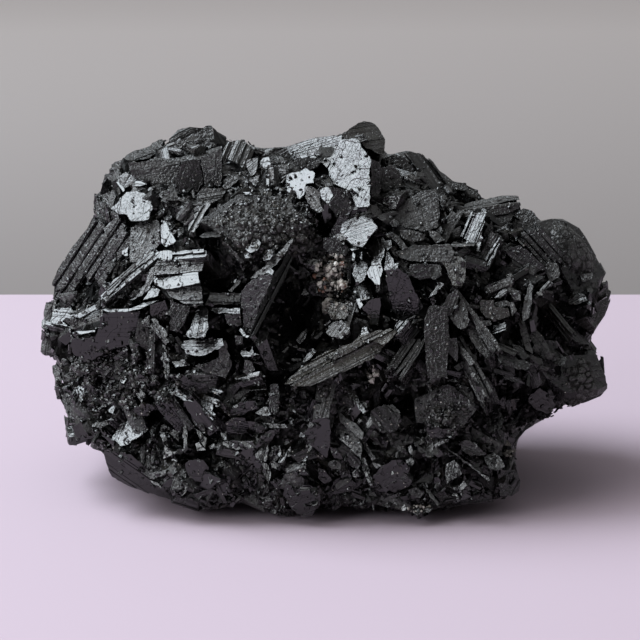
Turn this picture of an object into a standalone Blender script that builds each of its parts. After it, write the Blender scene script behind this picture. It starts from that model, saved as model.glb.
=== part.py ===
"""A hand specimen of black tourmaline (schorl): one mass of intergrown prisms.

The mass is one solid. A lumpy body is drawn from its outline as seen from the front and a little above,
and prisms are set into it: those of the front one by one, and those of the sides, back and underside by
a seeded rule. All of them are joined with the body, and the underside is cut level, so that it stands.
"""

import math
import random
from collections import namedtuple

import bmesh
import bpy
from mathutils import Matrix, Vector, noise

# ---------------------------------------------------------------- driving dimensions (metres and degrees)
MM = 0.001
NODE_NAME = "tourmaline_cluster"

# The front drawing: a plane through the middle of the mass, seen from EYE_DISTANCE and SLOPE above level.
# Its points are (u, v) in millimetres, u to the right and v up, and w is the depth behind that plane.
SLOPE = math.radians(12.0)
EYE_DISTANCE = 550.0
EYE_AT = (0.0, 40.0)
PLANE_LIFT = -7.2  # height of the drawing's (0, 0) over the surface that the specimen stands on
CENTRE_SHIFT = (-1.5, -7.15)  # brings the origin under the middle of the bounding box

# The body
BODY_CENTRE = (2.0, 38.0)
FRONT_DEPTH = 33.0
BACK_DEPTH = 30.0
FOOT_REACH = 22.0  # how far the outline's lower edge lies in front of the drawing's plane
FOOT_HEIGHT = 24.0
TOP_LEAN = 5.0
ROUNDNESS = 2.6  # power of the body's rounding: 2 is an ellipsoid, more is squarer
BODY_INSET = 1.0
SHOULDER_ROOM = 2.4  # how far the sides and back stay inside the outline, to leave room for their prisms
BACK_FAN = 18  # half of the fan of angles, in degrees, over which the back's form is evened out
BODY_SEGMENTS, BODY_RINGS = 46, 9
LUMP_SIZE, LUMP_HEIGHT = 16.0, 2.2

# Prisms
PROUD_SHARE = 0.75
EMBED = 3.0  # least depth of a prism inside the body
SHORTEST_DEPTH = 3.0
END_SLANT = 0.35  # how far a broken end leans, as a share of the width
CORNER_PLAY = 0.16  # how far a hexagon's corners stray from an even one
BEVEL_IN, BEVEL_DOWN = (0.05, 0.22), (0.15, 0.5)  # a block's bevels, as shares of its width and depth
SCATTER_SEED, SECTION_SEED = 22, 6
LOWEST_SCATTER = 2.0
FLOOR_CUT = 60.0

# ---------------------------------------------------------------- the outline of the front, clockwise
OUTLINE = (
    (-43.2, 13.6), (-45.6, 14.4), (-47.2, 15.2), (-49.4, 14.6), (-50.8, 14.8), (-50.8, 16.8),
    (-51.0, 19.0), (-51.4, 21.6), (-53.2, 24.6), (-53.4, 26.0), (-53.2, 28.0), (-53.8, 30.6),
    (-54.2, 32.4), (-56.0, 33.6), (-56.4, 35.4), (-55.8, 38.4), (-55.6, 42.0), (-54.6, 43.6),
    (-53.8, 46.0), (-53.2, 48.6), (-52.0, 50.6), (-50.0, 54.0), (-48.0, 56.4), (-46.0, 58.8),
    (-45.4, 60.6), (-45.8, 63.4), (-45.2, 65.2), (-43.2, 66.2), (-44.0, 68.2), (-42.4, 70.0),
    (-42.0, 71.4), (-39.6, 71.8), (-38.8, 73.4), (-34.8, 74.6), (-33.4, 76.0), (-30.0, 76.2),
    (-28.0, 78.4), (-26.6, 78.8), (-24.2, 77.6), (-22.2, 79.2), (-18.8, 76.8), (-15.4, 76.8),
    (-11.6, 74.2), (-9.6, 74.6), (-7.8, 74.0), (-3.0, 75.8), (3.0, 77.4), (6.4, 79.0),
    (9.2, 80.0), (11.8, 78.6), (13.4, 76.2), (12.6, 73.2), (14.6, 73.0), (16.2, 73.8),
    (20.0, 73.4), (22.0, 72.2), (26.0, 67.8), (29.4, 67.4), (31.8, 65.8), (32.4, 64.2),
    (36.0, 64.8), (39.6, 64.8), (40.2, 62.4), (42.4, 61.8), (44.2, 59.6), (46.0, 60.2),
    (48.4, 60.2), (52.0, 58.2), (54.0, 55.0), (56.0, 52.0), (57.6, 49.0), (58.2, 44.6),
    (57.2, 41.4), (54.8, 38.0), (54.0, 35.0), (57.0, 33.4), (57.8, 31.4), (57.4, 26.4),
    (56.0, 24.8), (52.0, 23.2), (49.0, 22.2), (46.0, 20.2), (42.0, 18.8), (39.4, 16.8),
    (39.2, 15.2), (39.6, 12.0), (40.2, 7.6), (39.2, 4.6), (36.0, 3.8), (30.0, 3.2),
    (26.0, 1.8), (22.8, 1.8), (19.6, 0.2), (17.0, 1.4), (12.0, 1.6), (5.0, 2.4),
    (1.0, 1.8), (-1.6, 0.2), (-6.4, 0.4), (-11.6, 1.8), (-15.0, 3.4), (-18.8, 2.0),
    (-26.0, 1.8), (-29.6, 3.4), (-33.0, 4.4), (-38.0, 6.8), (-42.0, 8.8), (-42.8, 12.0),
)

# Hollows in the front of the body: (u, v, radius, depth)
HOLLOWS = (
    (2.0, 49.0, 7.0, 8.0), (-19.0, 49.0, 4.5, 6.0), (-46.5, 47.0, 4.0, 4.0), (17.0, 22.0, 4.5, 6.0),
    (-4.0, 39.0, 6.0, 5.0), (29.0, 64.5, 3.5, 4.0), (36.5, 51.5, 4.0, 4.0), (47.0, 38.5, 4.0, 5.0),
    (-30.5, 60.0, 4.0, 4.0), (8.0, 6.0, 5.0, 3.0), (1.0, 58.5, 4.0, 5.0), (21.0, 10.0, 4.0, 4.0),
)

# ---------------------------------------------------------------- which way a prism's broad face looks
SHINE = (-0.43, -0.60, 0.68)
HAZE = (-0.30, -0.80, 0.52)
FRONT = (0.0, -0.98, 0.20)
RAISED = (0.0, -0.85, 0.52)
DOWN = (0.0, -0.95, -0.31)
UP = (-0.10, -0.40, 0.91)
LEFT = (-0.60, -0.75, 0.28)
RIGHT = (0.62, -0.74, 0.25)
UP_RIGHT = (0.45, -0.66, 0.60)

Lying = namedtuple("Lying", "u v angle length width face proud slats", defaults=(1,))
Standing = namedtuple("Standing", "u v width height face proud turn", defaults=(0,))

# Prisms that show their side. (u, v): middle of the face; angle: the long axis from +u, in degrees;
# proud: how far the face stands out of the body; slats: parallel ribs that it is split into.
CROWN = (
    Lying(-29.0, 68.8, 7, 20.0, 7.2, FRONT, 3.0), Lying(-27.0, 74.6, 9, 16.0, 3.0, UP, 1.0, 2),
    Lying(-32.0, 74.2, 12, 12.0, 3.0, UP, 0.5), Lying(-26.6, 77.0, 25, 7.0, 3.0, FRONT, 0.5),
    Lying(-21.4, 76.9, -36, 7.0, 4.0, RIGHT, 0.5), Lying(-16.0, 72.4, 66, 9.0, 7.0, FRONT, 2.5, 5),
    Lying(-14.0, 74.5, -25, 8.0, 3.0, UP, 0.5), Lying(-26.4, 68.0, 80, 6.6, 5.0, RIGHT, 3.6),
    Lying(-21.6, 69.6, 85, 5.0, 4.4, FRONT, 3.0), Lying(-23.0, 65.6, 5, 5.0, 2.4, UP, 3.0),
    Lying(-25.0, 60.6, 63, 6.5, 2.0, LEFT, 3.5, 2), Lying(-21.4, 61.4, 10, 4.0, 3.0, FRONT, 2.0),
)
LEFT_SHOULDER = (
    Lying(-48.0, 52.4, 55, 15.0, 5.5, LEFT, 2.0, 3), Lying(-42.4, 53.6, 55, 13.0, 5.5, LEFT, 3.0, 4),
    Lying(-35.4, 55.0, 65, 10.5, 7.0, HAZE, 3.5), Lying(-52.3, 47.6, 82, 8.0, 2.2, LEFT, 1.0),
    Lying(-37.8, 49.0, 39, 14.0, 1.8, SHINE, 4.0), Lying(-40.4, 48.4, 42, 9.0, 1.6, RAISED, 3.5),
    Lying(-34.0, 48.4, 62, 9.5, 2.4, LEFT, 4.0), Lying(-51.6, 41.4, -12, 5.0, 3.0, SHINE, 2.0, 3),
    Lying(-47.2, 40.0, -3, 5.6, 2.6, FRONT, 2.5),
)
BRIGHT_BLOCKS = (
    Lying(-28.4, 48.8, 3, 10.4, 10.4, FRONT, 3.5), Lying(-27.8, 53.0, 3, 9.6, 1.8, SHINE, 5.0),
    Lying(-28.2, 51.2, 3, 9.6, 2.2, RAISED, 4.6, 3), Lying(-28.8, 48.2, 4, 10.0, 3.8, SHINE, 5.2),
    Lying(-27.6, 44.6, 2, 8.6, 2.8, FRONT, 4.4, 3), Lying(-33.4, 45.8, 45, 6.0, 3.0, SHINE, 4.0),
    Lying(-19.4, 43.2, 0, 7.6, 4.0, RAISED, 1.5, 4), Lying(-19.6, 41.6, 0, 7.6, 1.6, SHINE, 2.5),
    Lying(-24.6, 39.6, 66, 7.0, 4.0, SHINE, 4.0), Lying(-23.8, 34.8, 1, 8.6, 4.0, SHINE, 4.4, 3),
    Lying(-32.0, 41.8, 5, 4.0, 3.8, DOWN, 4.0), Lying(-28.6, 39.6, 70, 7.0, 4.0, DOWN, 4.0),
    Lying(-19.6, 32.4, 75, 6.4, 4.0, RIGHT, 3.0), Lying(-39.8, 39.0, 4, 9.6, 5.4, DOWN, 4.5),
    Lying(-44.4, 34.4, 1, 12.0, 5.0, DOWN, 3.5),
)
LOWER_LEFT = (
    Lying(-26.2, 27.4, -22, 7.0, 4.0, DOWN, 4.5), Lying(-49.8, 23.2, 70, 6.0, 4.4, LEFT, 1.5),
    Lying(-47.2, 17.6, -10, 4.8, 3.4, DOWN, 2.5), Lying(-36.6, 9.4, -28, 13.0, 5.2, DOWN, 3.0),
    Lying(-39.6, 12.4, -8, 6.0, 2.6, FRONT, 3.5), Lying(-30.8, 20.6, -46, 10.5, 3.2, DOWN, 4.0),
    Lying(-27.6, 21.2, -56, 8.0, 1.8, FRONT, 4.0), Lying(-23.8, 20.8, -50, 9.0, 3.0, DOWN, 4.5),
    Lying(-26.5, 3.6, -20, 6.0, 3.0, DOWN, 3.0),
)
LOWER_MIDDLE = (
    Lying(-15.6, 22.4, 12, 7.0, 3.0, DOWN, 4.0), Lying(-17.6, 19.6, -5, 6.0, 2.6, DOWN, 3.6),
    Lying(-12.2, 18.2, -25, 6.4, 2.0, DOWN, 4.0), Lying(-3.6, 3.8, 80, 7.4, 7.0, DOWN, 4.0),
    Lying(-8.0, 7.4, 40, 4.4, 3.0, DOWN, 4.0), Lying(-0.2, 16.6, 75, 8.0, 4.6, DOWN, 5.0),
    Lying(1.0, 24.6, 82, 8.4, 3.6, RAISED, 4.0), Lying(4.0, 31.6, 28, 25.0, 4.4, RAISED, 7.0, 3),
    Lying(3.4, 33.8, 27, 20.0, 1.6, UP, 7.0), Lying(6.4, 16.4, -43, 9.6, 4.0, HAZE, 5.0, 5),
    Lying(10.0, 13.2, -52, 7.4, 1.7, SHINE, 5.5, 2), Lying(14.2, 9.2, 36, 8.4, 4.6, DOWN, 5.0),
    Lying(4.6, 6.6, 10, 5.0, 2.4, DOWN, 3.4), Lying(14.0, 4.0, -12, 9.0, 2.4, FRONT, 3.0),
    Lying(-14.0, 5.4, -25, 7.0, 3.0, RAISED, 3.0),
)
CENTRE = (
    Lying(-11.4, 43.4, 62, 15.5, 5.6, (-0.25, -0.96, -0.12), 5.0, 1),
    Lying(-8.4, 47.0, 60, 14.0, 2.0, RIGHT, 4.0, 3), Lying(-9.8, 51.6, 41, 11.0, 1.2, RAISED, 5.0),
    Lying(3.8, 54.8, 10, 5.2, 2.6, FRONT, 2.5), Lying(12.4, 52.4, 78, 9.6, 4.0, SHINE, 4.0, 3),
    Lying(10.6, 42.4, 75, 5.6, 3.6, DOWN, 3.5), Lying(16.8, 44.6, 70, 10.0, 6.4, LEFT, 4.0),
    Lying(23.4, 35.4, 88, 13.4, 4.4, FRONT, 6.0), Lying(17.5, 33.0, 55, 8.0, 4.0, RAISED, 3.0, 4),
    Lying(27.4, 50.0, 85, 7.0, 4.0, FRONT, 4.0, 2), Lying(23.6, 54.2, 0, 13.0, 2.2, UP, 4.0),
    Lying(20.2, 50.4, 5, 6.0, 3.4, FRONT, 3.0),
)
TOP_MIDDLE = (
    Lying(-9.2, 72.3, 30, 6.0, 4.0, FRONT, 3.0), Lying(-2.8, 70.8, 6, 9.0, 2.6, FRONT, 3.0),
    Lying(-0.8, 74.0, 16, 12.6, 4.4, (-0.30, -0.48, 0.82), 3.0), Lying(6.0, 69.2, 62, 15.0, 7.6, SHINE, 5.0),
    Lying(8.4, 64.0, 65, 5.0, 3.0, SHINE, 4.6), Lying(9.6, 75.8, -8, 8.0, 6.4, UP_RIGHT, 2.0, 3),
    Lying(11.6, 66.4, 94, 13.0, 2.6, RIGHT, 4.0), Lying(-1.2, 64.0, -50, 6.0, 3.0, HAZE, 4.0, 3),
    Lying(22.0, 69.0, 22, 9.0, 7.0, UP_RIGHT, 2.0, 5), Lying(27.6, 66.0, 12, 8.0, 2.6, RAISED, 1.5),
    Lying(33.6, 63.3, 8, 13.0, 1.6, UP, 3.0), Lying(33.6, 61.8, 8, 12.0, 2.0, FRONT, 3.0),
)
RIGHT_SIDE = (
    Lying(30.8, 57.8, 67, 8.0, 4.0, SHINE, 4.0, 5), Lying(34.0, 54.0, 63, 7.0, 3.0, FRONT, 4.0, 3),
    Lying(36.6, 60.0, 28, 5.0, 4.4, RAISED, 3.0, 3),
    Lying(51.0, 53.4, -60, 17.0, 9.0, (0.50, -0.70, 0.50), 2.5), Lying(56.0, 42.2, 72, 8.0, 3.0, RIGHT, 1.0),
    Lying(44.6, 54.4, -48, 8.0, 5.0, FRONT, 3.0, 5), Lying(51.8, 43.6, 28, 4.6, 3.8, SHINE, 2.5, 4),
    Lying(50.2, 39.0, -38, 11.0, 2.0, RAISED, 3.0, 2),
    Lying(52.0, 29.4, 5, 11.0, 9.0, (0.25, -0.90, 0.36), 2.5), Lying(51.0, 25.4, 3, 9.0, 2.8, DOWN, 3.0),
    Lying(28.2, 40.6, 80, 5.4, 3.6, HAZE, 4.0), Lying(31.4, 40.4, -54, 15.0, 1.0, RAISED, 5.0),
    Lying(32.6, 36.0, -55, 9.0, 2.6, RAISED, 4.6, 3), Lying(30.6, 30.4, -62, 14.0, 1.8, RAISED, 5.0, 3),
    Lying(26.0, 43.0, 63, 6.6, 3.0, FRONT, 4.0, 3), Lying(37.2, 45.8, -26, 7.0, 2.6, RAISED, 4.0, 3),
    Lying(41.4, 43.4, 82, 8.4, 1.9, HAZE, 5.0, 2), Lying(45.0, 35.4, -45, 8.0, 3.0, FRONT, 4.0, 2),
    Lying(38.8, 31.8, -18, 9.0, 3.0, FRONT, 4.0, 3), Lying(40.0, 27.6, -20, 8.0, 2.6, FRONT, 3.5, 3),
    Lying(34.6, 20.4, 76, 7.2, 3.8, RAISED, 5.0, 3), Lying(26.6, 9.6, 80, 4.4, 3.0, SHINE, 4.0, 3),
    Lying(24.4, 17.8, 0, 6.0, 2.6, DOWN, 4.5), Lying(33.4, 25.6, -60, 6.0, 3.0, FRONT, 4.0),
    Lying(33.0, 15.6, -30, 7.0, 2.6, FRONT, 3.6), Lying(31.0, 4.6, 5, 7.0, 2.4, FRONT, 2.5),
)
LYING = CROWN + LEFT_SHOULDER + BRIGHT_BLOCKS + LOWER_LEFT + LOWER_MIDDLE + CENTRE + TOP_MIDDLE + RIGHT_SIDE

# Prisms that show their end. (u, v): middle of the end face; turn: its turn in the drawing, in degrees.
STANDING = (
    Standing(-37.2, 62.8, 8.8, 5.6, SHINE, 3.5, 10), Standing(-38.4, 17.8, 5.8, 6.2, SHINE, 4.0, 30),
    Standing(-24.4, 10.0, 4.6, 4.6, DOWN, 4.0), Standing(13.2, 20.2, 6.0, 5.6, FRONT, 3.5, 20),
    Standing(3.6, 38.2, 4.8, 4.0, HAZE, 3.5), Standing(3.4, 42.4, 4.0, 4.2, RAISED, 3.5, 15),
    Standing(-12.6, 60.2, 16.0, 9.6, RAISED, 2.5, 5), Standing(-4.0, 67.2, 6.0, 5.8, SHINE, 4.5, 20),
    Standing(7.6, 58.0, 7.0, 6.4, SHINE, 5.0, 5), Standing(4.2, 63.4, 6.4, 6.0, FRONT, 4.5, 15),
    Standing(16.0, 68.6, 5.6, 6.0, FRONT, 2.5), Standing(19.4, 61.4, 8.8, 5.0, RAISED, 3.0, 8),
    Standing(41.2, 58.9, 5.2, 4.8, UP_RIGHT, 2.0), Standing(44.0, 22.8, 5.4, 4.8, DOWN, 2.5, 20),
    Standing(45.6, 50.4, 3.6, 4.4, RAISED, 3.0), Standing(35.0, 11.6, 3.8, 3.2, HAZE, 4.0, 30),
    Standing(24.6, 22.0, 10.0, 8.6, FRONT, 4.0), Standing(37.4, 7.8, 4.8, 6.0, RIGHT, 1.5),
    Standing(-40.8, 70.4, 3.8, 3.4, LEFT, 0.8, 15), Standing(-42.4, 67.6, 3.8, 3.6, LEFT, 0.6),
    Standing(-43.4, 63.8, 4.2, 4.2, LEFT, 0.6, 30), Standing(-43.0, 60.8, 3.8, 3.0, LEFT, 0.6, 10),
)

# Prisms of the sides, back, top and underside, set by the seeded rule: (how many, length, width)
SCATTER = (
    (36, (15.0, 27.0), (7.0, 12.0)), (56, (9.0, 17.0), (4.0, 7.5)),
)

# ---------------------------------------------------------------- the front drawing and the body's form
AXIS_U = Vector((1.0, 0.0, 0.0))
AXIS_V = Vector((0.0, math.sin(SLOPE), math.cos(SLOPE)))
AXIS_W = Vector((0.0, math.cos(SLOPE), -math.sin(SLOPE)))


def placed(u, v, w):
    """The point at depth w that the drawing shows at (u, v), in metres."""
    nearness = 1.0 + w / EYE_DISTANCE
    u = EYE_AT[0] + (u - EYE_AT[0]) * nearness
    v = EYE_AT[1] + (v - EYE_AT[1]) * nearness
    point = AXIS_U * u + AXIS_V * v + AXIS_W * w
    point += Vector((CENTRE_SHIFT[0], CENTRE_SHIFT[1], PLANE_LIFT))
    return point * MM


def drawn(point):
    """(u, v) where the drawing shows a point."""
    local = point / MM - Vector((CENTRE_SHIFT[0], CENTRE_SHIFT[1], PLANE_LIFT))
    nearness = 1.0 + local.dot(AXIS_W) / EYE_DISTANCE
    return (
        EYE_AT[0] + (local.dot(AXIS_U) - EYE_AT[0]) / nearness,
        EYE_AT[1] + (local.dot(AXIS_V) - EYE_AT[1]) / nearness,
    )


def polar(u, v):
    u, v = u - BODY_CENTRE[0], v - BODY_CENTRE[1]
    return math.atan2(v, u), math.hypot(u, v)


RIM = sorted(polar(u, v) for u, v in OUTLINE)


def reach(angle):
    """Distance from the body's centre to the outline at this angle."""
    angle = math.atan2(math.sin(angle), math.cos(angle))
    for (a0, r0), (a1, r1) in zip(RIM[-1:] + RIM[:-1], RIM):
        if a0 > a1:
            a0, angle_here = a0 - 2 * math.pi, angle if angle <= a1 else angle - 2 * math.pi
        else:
            angle_here = angle
        if a0 <= angle_here <= a1:
            return r0 + (r1 - r0) * (angle_here - a0) / max(a1 - a0, 1e-9)
    return RIM[0][1]


def back_reach(angle):
    """The reach evened out over a wide fan, for the side of the body that the outline does not show."""
    fan = [math.radians(step) for step in range(-BACK_FAN, BACK_FAN + 1, BACK_FAN // 3)]
    return sum(reach(angle + turn) for turn in fan) / len(fan)


def smooth(t):
    t = min(1.0, max(0.0, t))
    return t * t * (3 - 2 * t)


def rim_depth(v):
    """Depth of the outline at height v: its foot lies in front, and its top leans back."""
    foot = smooth((FOOT_HEIGHT - v) / FOOT_HEIGHT)
    top = smooth((v - 50.0) / 30.0)
    return TOP_LEAN * top - FOOT_REACH * foot


def hollow(u, v):
    return sum(
        depth * math.exp(-((u - hu) ** 2 + (v - hv) ** 2) / radius**2) for hu, hv, radius, depth in HOLLOWS
    )


def front_depth(u, v):
    """Depth of the body's front at (u, v)."""
    angle, distance = polar(u, v)
    share = min(1.0, distance / max(reach(angle) - BODY_INSET, 1e-6))
    bulge = (1.0 - share**ROUNDNESS) ** (1.0 / 2.2)
    middle = rim_depth(v)
    return middle - (FRONT_DEPTH + 0.8 * middle) * bulge + hollow(u, v) * bulge


def body_point(angle, tilt):
    """A point of the body's surface: angle round the drawing, tilt from -90 (front) to 90 degrees (back)."""
    evenness = smooth(tilt / math.radians(20.0))
    edge = reach(angle) * (1 - evenness) + (back_reach(angle) - SHOULDER_ROOM) * evenness
    radius = (edge - BODY_INSET) * math.cos(tilt) ** 0.78
    u = BODY_CENTRE[0] + radius * math.cos(angle)
    v = BODY_CENTRE[1] + radius * math.sin(angle)
    if tilt <= 0:
        return placed(u, v, front_depth(u, v))
    bulge = math.sin(tilt) ** 0.85
    flow = Vector((math.cos(angle) * math.cos(tilt), math.sin(angle) * math.cos(tilt), math.sin(tilt)))
    lump = noise.noise(flow * (BACK_DEPTH / LUMP_SIZE)) * LUMP_HEIGHT * bulge
    middle = rim_depth(v)
    return placed(u, v, middle + (BACK_DEPTH - 0.6 * middle + 2.0 * lump) * bulge)


# ---------------------------------------------------------------- objects
def clear_scene():
    for obj in list(bpy.data.objects):
        bpy.data.objects.remove(obj)


def new_collection(name, shown=True):
    collection = bpy.data.collections.new(name)
    bpy.context.scene.collection.children.link(collection)
    collection.hide_render = not shown
    return collection


def add_mesh(bm, name, collection):
    mesh = bpy.data.meshes.new(name)
    bmesh.ops.recalc_face_normals(bm, faces=bm.faces)
    bm.to_mesh(mesh)
    bm.free()
    obj = bpy.data.objects.new(name, mesh)
    collection.objects.link(obj)
    return obj


def as_helper(obj):
    obj.hide_render = True
    obj.display_type = "WIRE"
    return obj


def make_body(collection):
    """A sphere whose pole looks at the viewer, drawn out to the outline and the depth of the mass."""
    bm = bmesh.new()
    bmesh.ops.create_uvsphere(bm, u_segments=BODY_SEGMENTS, v_segments=BODY_RINGS, radius=1.0)
    for vert in bm.verts:
        angle = math.atan2(vert.co.y, vert.co.x)
        tilt = math.asin(max(-1.0, min(1.0, vert.co.z)))
        vert.co = body_point(angle, tilt)
    return add_mesh(bm, NODE_NAME, collection)


def frame_of(axis, face):
    """Rotation whose Z is the prism's axis, and whose Y is as near to the face's direction as it can be."""
    z = axis.normalized()
    y = (face - z * face.dot(z)).normalized()
    return Matrix((y.cross(z), y, z)).transposed().to_4x4()


def hexagon(width, depth, rng):
    """Corners of an uneven six-sided prism's section, whose end face is seen."""
    corners = []
    for k in range(6):
        size = 1.0 + rng.uniform(-CORNER_PLAY, CORNER_PLAY)
        turn = math.radians(60 * k)
        corners.append((math.cos(turn) * size * width / 2, math.sin(turn) * size * depth / math.sqrt(3)))
    return corners


def block(width, depth, rng):
    """Corners of a broken block's section: a broad face on top, with a bevel down each side of it."""
    x, y = width / 2, depth / 2
    right_in, left_in = (rng.uniform(*BEVEL_IN) * width for _ in range(2))
    right_down, left_down = (rng.uniform(*BEVEL_DOWN) * depth for _ in range(2))
    return [(x, -y), (x, y - right_down), (x - right_in, y), (left_in - x, y), (-x, y - left_down), (-x, -y)]


def add_prism(matrix, section, length, rng, name, collection):
    """A prism along Z over a section of six corners, with slanted ends."""
    bm = bmesh.new()
    rings = []
    for end in (-0.5, 0.5):
        slant_x, slant_y = rng.uniform(-END_SLANT, END_SLANT), rng.uniform(-END_SLANT, END_SLANT)
        ring = []
        for x, y in section:
            z = end * length + slant_x * x + slant_y * y * 0.5
            ring.append(bm.verts.new(matrix @ (Vector((x, y, z)) * MM)))
        rings.append(ring)
    bm.faces.new(rings[0])
    bm.faces.new(rings[1])
    for k in range(6):
        after = (k + 1) % 6
        bm.faces.new((rings[0][k], rings[0][after], rings[1][after], rings[1][k]))
    return as_helper(add_mesh(bm, name, collection))


def lying_frame(prism):
    """Where a prism that shows its side is: its matrix and its depth."""
    turn = math.radians(prism.angle)
    face = Vector(prism.face).normalized()
    axis = AXIS_U * math.cos(turn) + AXIS_V * math.sin(turn)
    axis = (axis - face * axis.dot(face)).normalized()
    depth = max(SHORTEST_DEPTH, 0.8 * prism.width, PROUD_SHARE * prism.proud + EMBED)
    surface = placed(prism.u, prism.v, front_depth(prism.u, prism.v) - PROUD_SHARE * prism.proud)
    middle = surface - face * depth / 2 * MM
    return Matrix.Translation(middle) @ frame_of(axis, face), depth


def standing_frame(prism):
    """Where a prism that shows its end is: its matrix and its length."""
    face = Vector(prism.face).normalized()
    turn = math.radians(prism.turn)
    side = AXIS_U * math.cos(turn) + AXIS_V * math.sin(turn)
    length = max(2 * SHORTEST_DEPTH, 0.9 * prism.width, PROUD_SHARE * prism.proud + 2 * EMBED)
    surface = placed(prism.u, prism.v, front_depth(prism.u, prism.v) - PROUD_SHARE * prism.proud)
    middle = surface - face * length / 2 * MM
    up = face.cross(side)
    return Matrix.Translation(middle) @ frame_of(face, up), length


def inside_outline(point, margin=0.6):
    angle, distance = polar(*drawn(point))
    return distance < reach(angle) - margin


def outward_at(angle, tilt):
    """The way out of the body at a point of its surface."""
    spot = body_point(angle, tilt)
    along = body_point(angle + 0.05, tilt) - spot
    across = body_point(angle, tilt - 0.05) - spot
    outward = along.cross(across).normalized()
    from_middle = spot - placed(BODY_CENTRE[0], BODY_CENTRE[1], 0.0)
    return outward if outward.dot(from_middle) > 0 else -outward


def corners_of(matrix, length, width, depth):
    half = Vector((width, depth, length)) * MM / 2
    signs = [(i, j, k) for i in (-1, 1) for j in (-1, 1) for k in (-1, 1)]
    return [matrix @ Vector((half.x * i, half.y * j, half.z * k)) for i, j, k in signs]


def scattered(rng):
    """Prisms of the sides and back, each as proud as the outline and the floor let it be."""
    for count, lengths, widths in SCATTER:
        made = 0
        while made < count:
            angle = rng.uniform(-math.pi, math.pi)
            tilt = math.asin(rng.uniform(0.05, 1.0) ** 1.3)
            spot, outward = body_point(angle, tilt), outward_at(angle, tilt)
            axis = Vector([rng.gauss(0, 1) for _ in range(3)]).normalized()
            axis = (axis - outward * axis.dot(outward) * rng.uniform(0.7, 1.0)).normalized()
            length, width = rng.uniform(*lengths), rng.uniform(*widths)
            depth = width * rng.uniform(0.7, 1.1)
            if spot.z < LOWEST_SCATTER * MM:
                continue
            for step in range(8):
                sunk = depth * (0.08 * step - 0.05)
                matrix = Matrix.Translation(spot - outward * sunk * MM) @ frame_of(axis, outward)
                corners = corners_of(matrix, length, width, depth)
                if min(c.z for c in corners) > -MM and all(inside_outline(c) for c in corners):
                    made += 1
                    yield matrix, length, width, depth
                    break


def outer_skin(obj, collection):
    """Makes obj the outermost closed surface of its evaluated mesh, with no sealed gaps inside."""
    graph = bpy.context.evaluated_depsgraph_get()
    mesh = bpy.data.meshes.new_from_object(obj.evaluated_get(graph))
    bm = bmesh.new()
    bm.from_mesh(mesh)
    bpy.data.meshes.remove(mesh)
    bmesh.ops.triangulate(bm, faces=bm.faces)
    unseen, shells = set(bm.verts), []
    while unseen:
        stack, shell = [next(iter(unseen))], set()
        while stack:
            vert = stack.pop()
            if vert in shell:
                continue
            shell.add(vert)
            stack += [edge.other_vert(vert) for edge in vert.link_edges]
        unseen -= shell
        shells.append(shell)
    shells.sort(key=len)
    for shell in shells[:-1]:
        bmesh.ops.delete(bm, geom=list(shell), context="VERTS")
    print("shells", [len(s) for s in shells][-6:], "triangles", len(bm.faces))
    bpy.data.objects.remove(obj)
    return add_mesh(bm, NODE_NAME, collection)


def black_tourmaline():
    material = bpy.data.materials.new("black_tourmaline")
    material.use_nodes = True
    shader = material.node_tree.nodes["Principled BSDF"]
    shader.inputs["Base Color"].default_value = (0.012, 0.012, 0.014, 1.0)
    shader.inputs["Roughness"].default_value = 0.3
    shader.inputs["Metallic"].default_value = 0.0
    shader.inputs["IOR"].default_value = 1.64
    return material


def join_prisms(body, prisms):
    join = body.modifiers.new("grown together", "BOOLEAN")
    join.operation = "UNION"
    join.operand_type = "COLLECTION"
    join.collection = prisms
    join.solver = "EXACT"


def cut_level(body, helpers):
    """Cuts off what lies below the surface that the specimen stands on."""
    bm = bmesh.new()
    bmesh.ops.create_cube(bm, size=1.0)
    for vert in bm.verts:
        vert.co = Vector((vert.co.x * 4, vert.co.y * 4, vert.co.z - 0.5)) * FLOOR_CUT * MM
    cutter = as_helper(add_mesh(bm, "level_cutter", helpers))
    cut = body.modifiers.new("level underside", "BOOLEAN")
    cut.operation = "DIFFERENCE"
    cut.object = cutter
    cut.solver = "EXACT"


def main():
    clear_scene()
    specimen = new_collection("black_tourmaline_specimen")
    prisms = new_collection("prisms_to_join", shown=False)
    helpers = new_collection("cutters", shown=False)
    rng = random.Random(SECTION_SEED)

    body = make_body(specimen)
    for i, prism in enumerate(LYING):
        matrix, depth = lying_frame(prism)
        section = block(prism.width, depth, rng)
        add_prism(matrix, section, prism.length, rng, f"lying_{i}", prisms)
    for i, prism in enumerate(STANDING):
        matrix, length = standing_frame(prism)
        section = hexagon(prism.width, prism.height, rng)
        add_prism(matrix, section, length, rng, f"standing_{i}", prisms)
    for i, (matrix, length, width, depth) in enumerate(scattered(random.Random(SCATTER_SEED))):
        add_prism(matrix, block(width, depth, rng), length, rng, f"scattered_{i}", prisms)

    join_prisms(body, prisms)
    cut_level(body, helpers)
    body = outer_skin(body, specimen)
    body.data.materials.append(black_tourmaline())


main()
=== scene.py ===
"""Black tourmaline hand specimen: the look of the intergrown striated prisms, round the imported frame."""

import math
import random
from collections import namedtuple

import bpy
import numpy as np
from mathutils import Matrix, Vector, noise
from mathutils.bvhtree import BVHTree
from mathutils.geometry import tessellate_polygon


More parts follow.
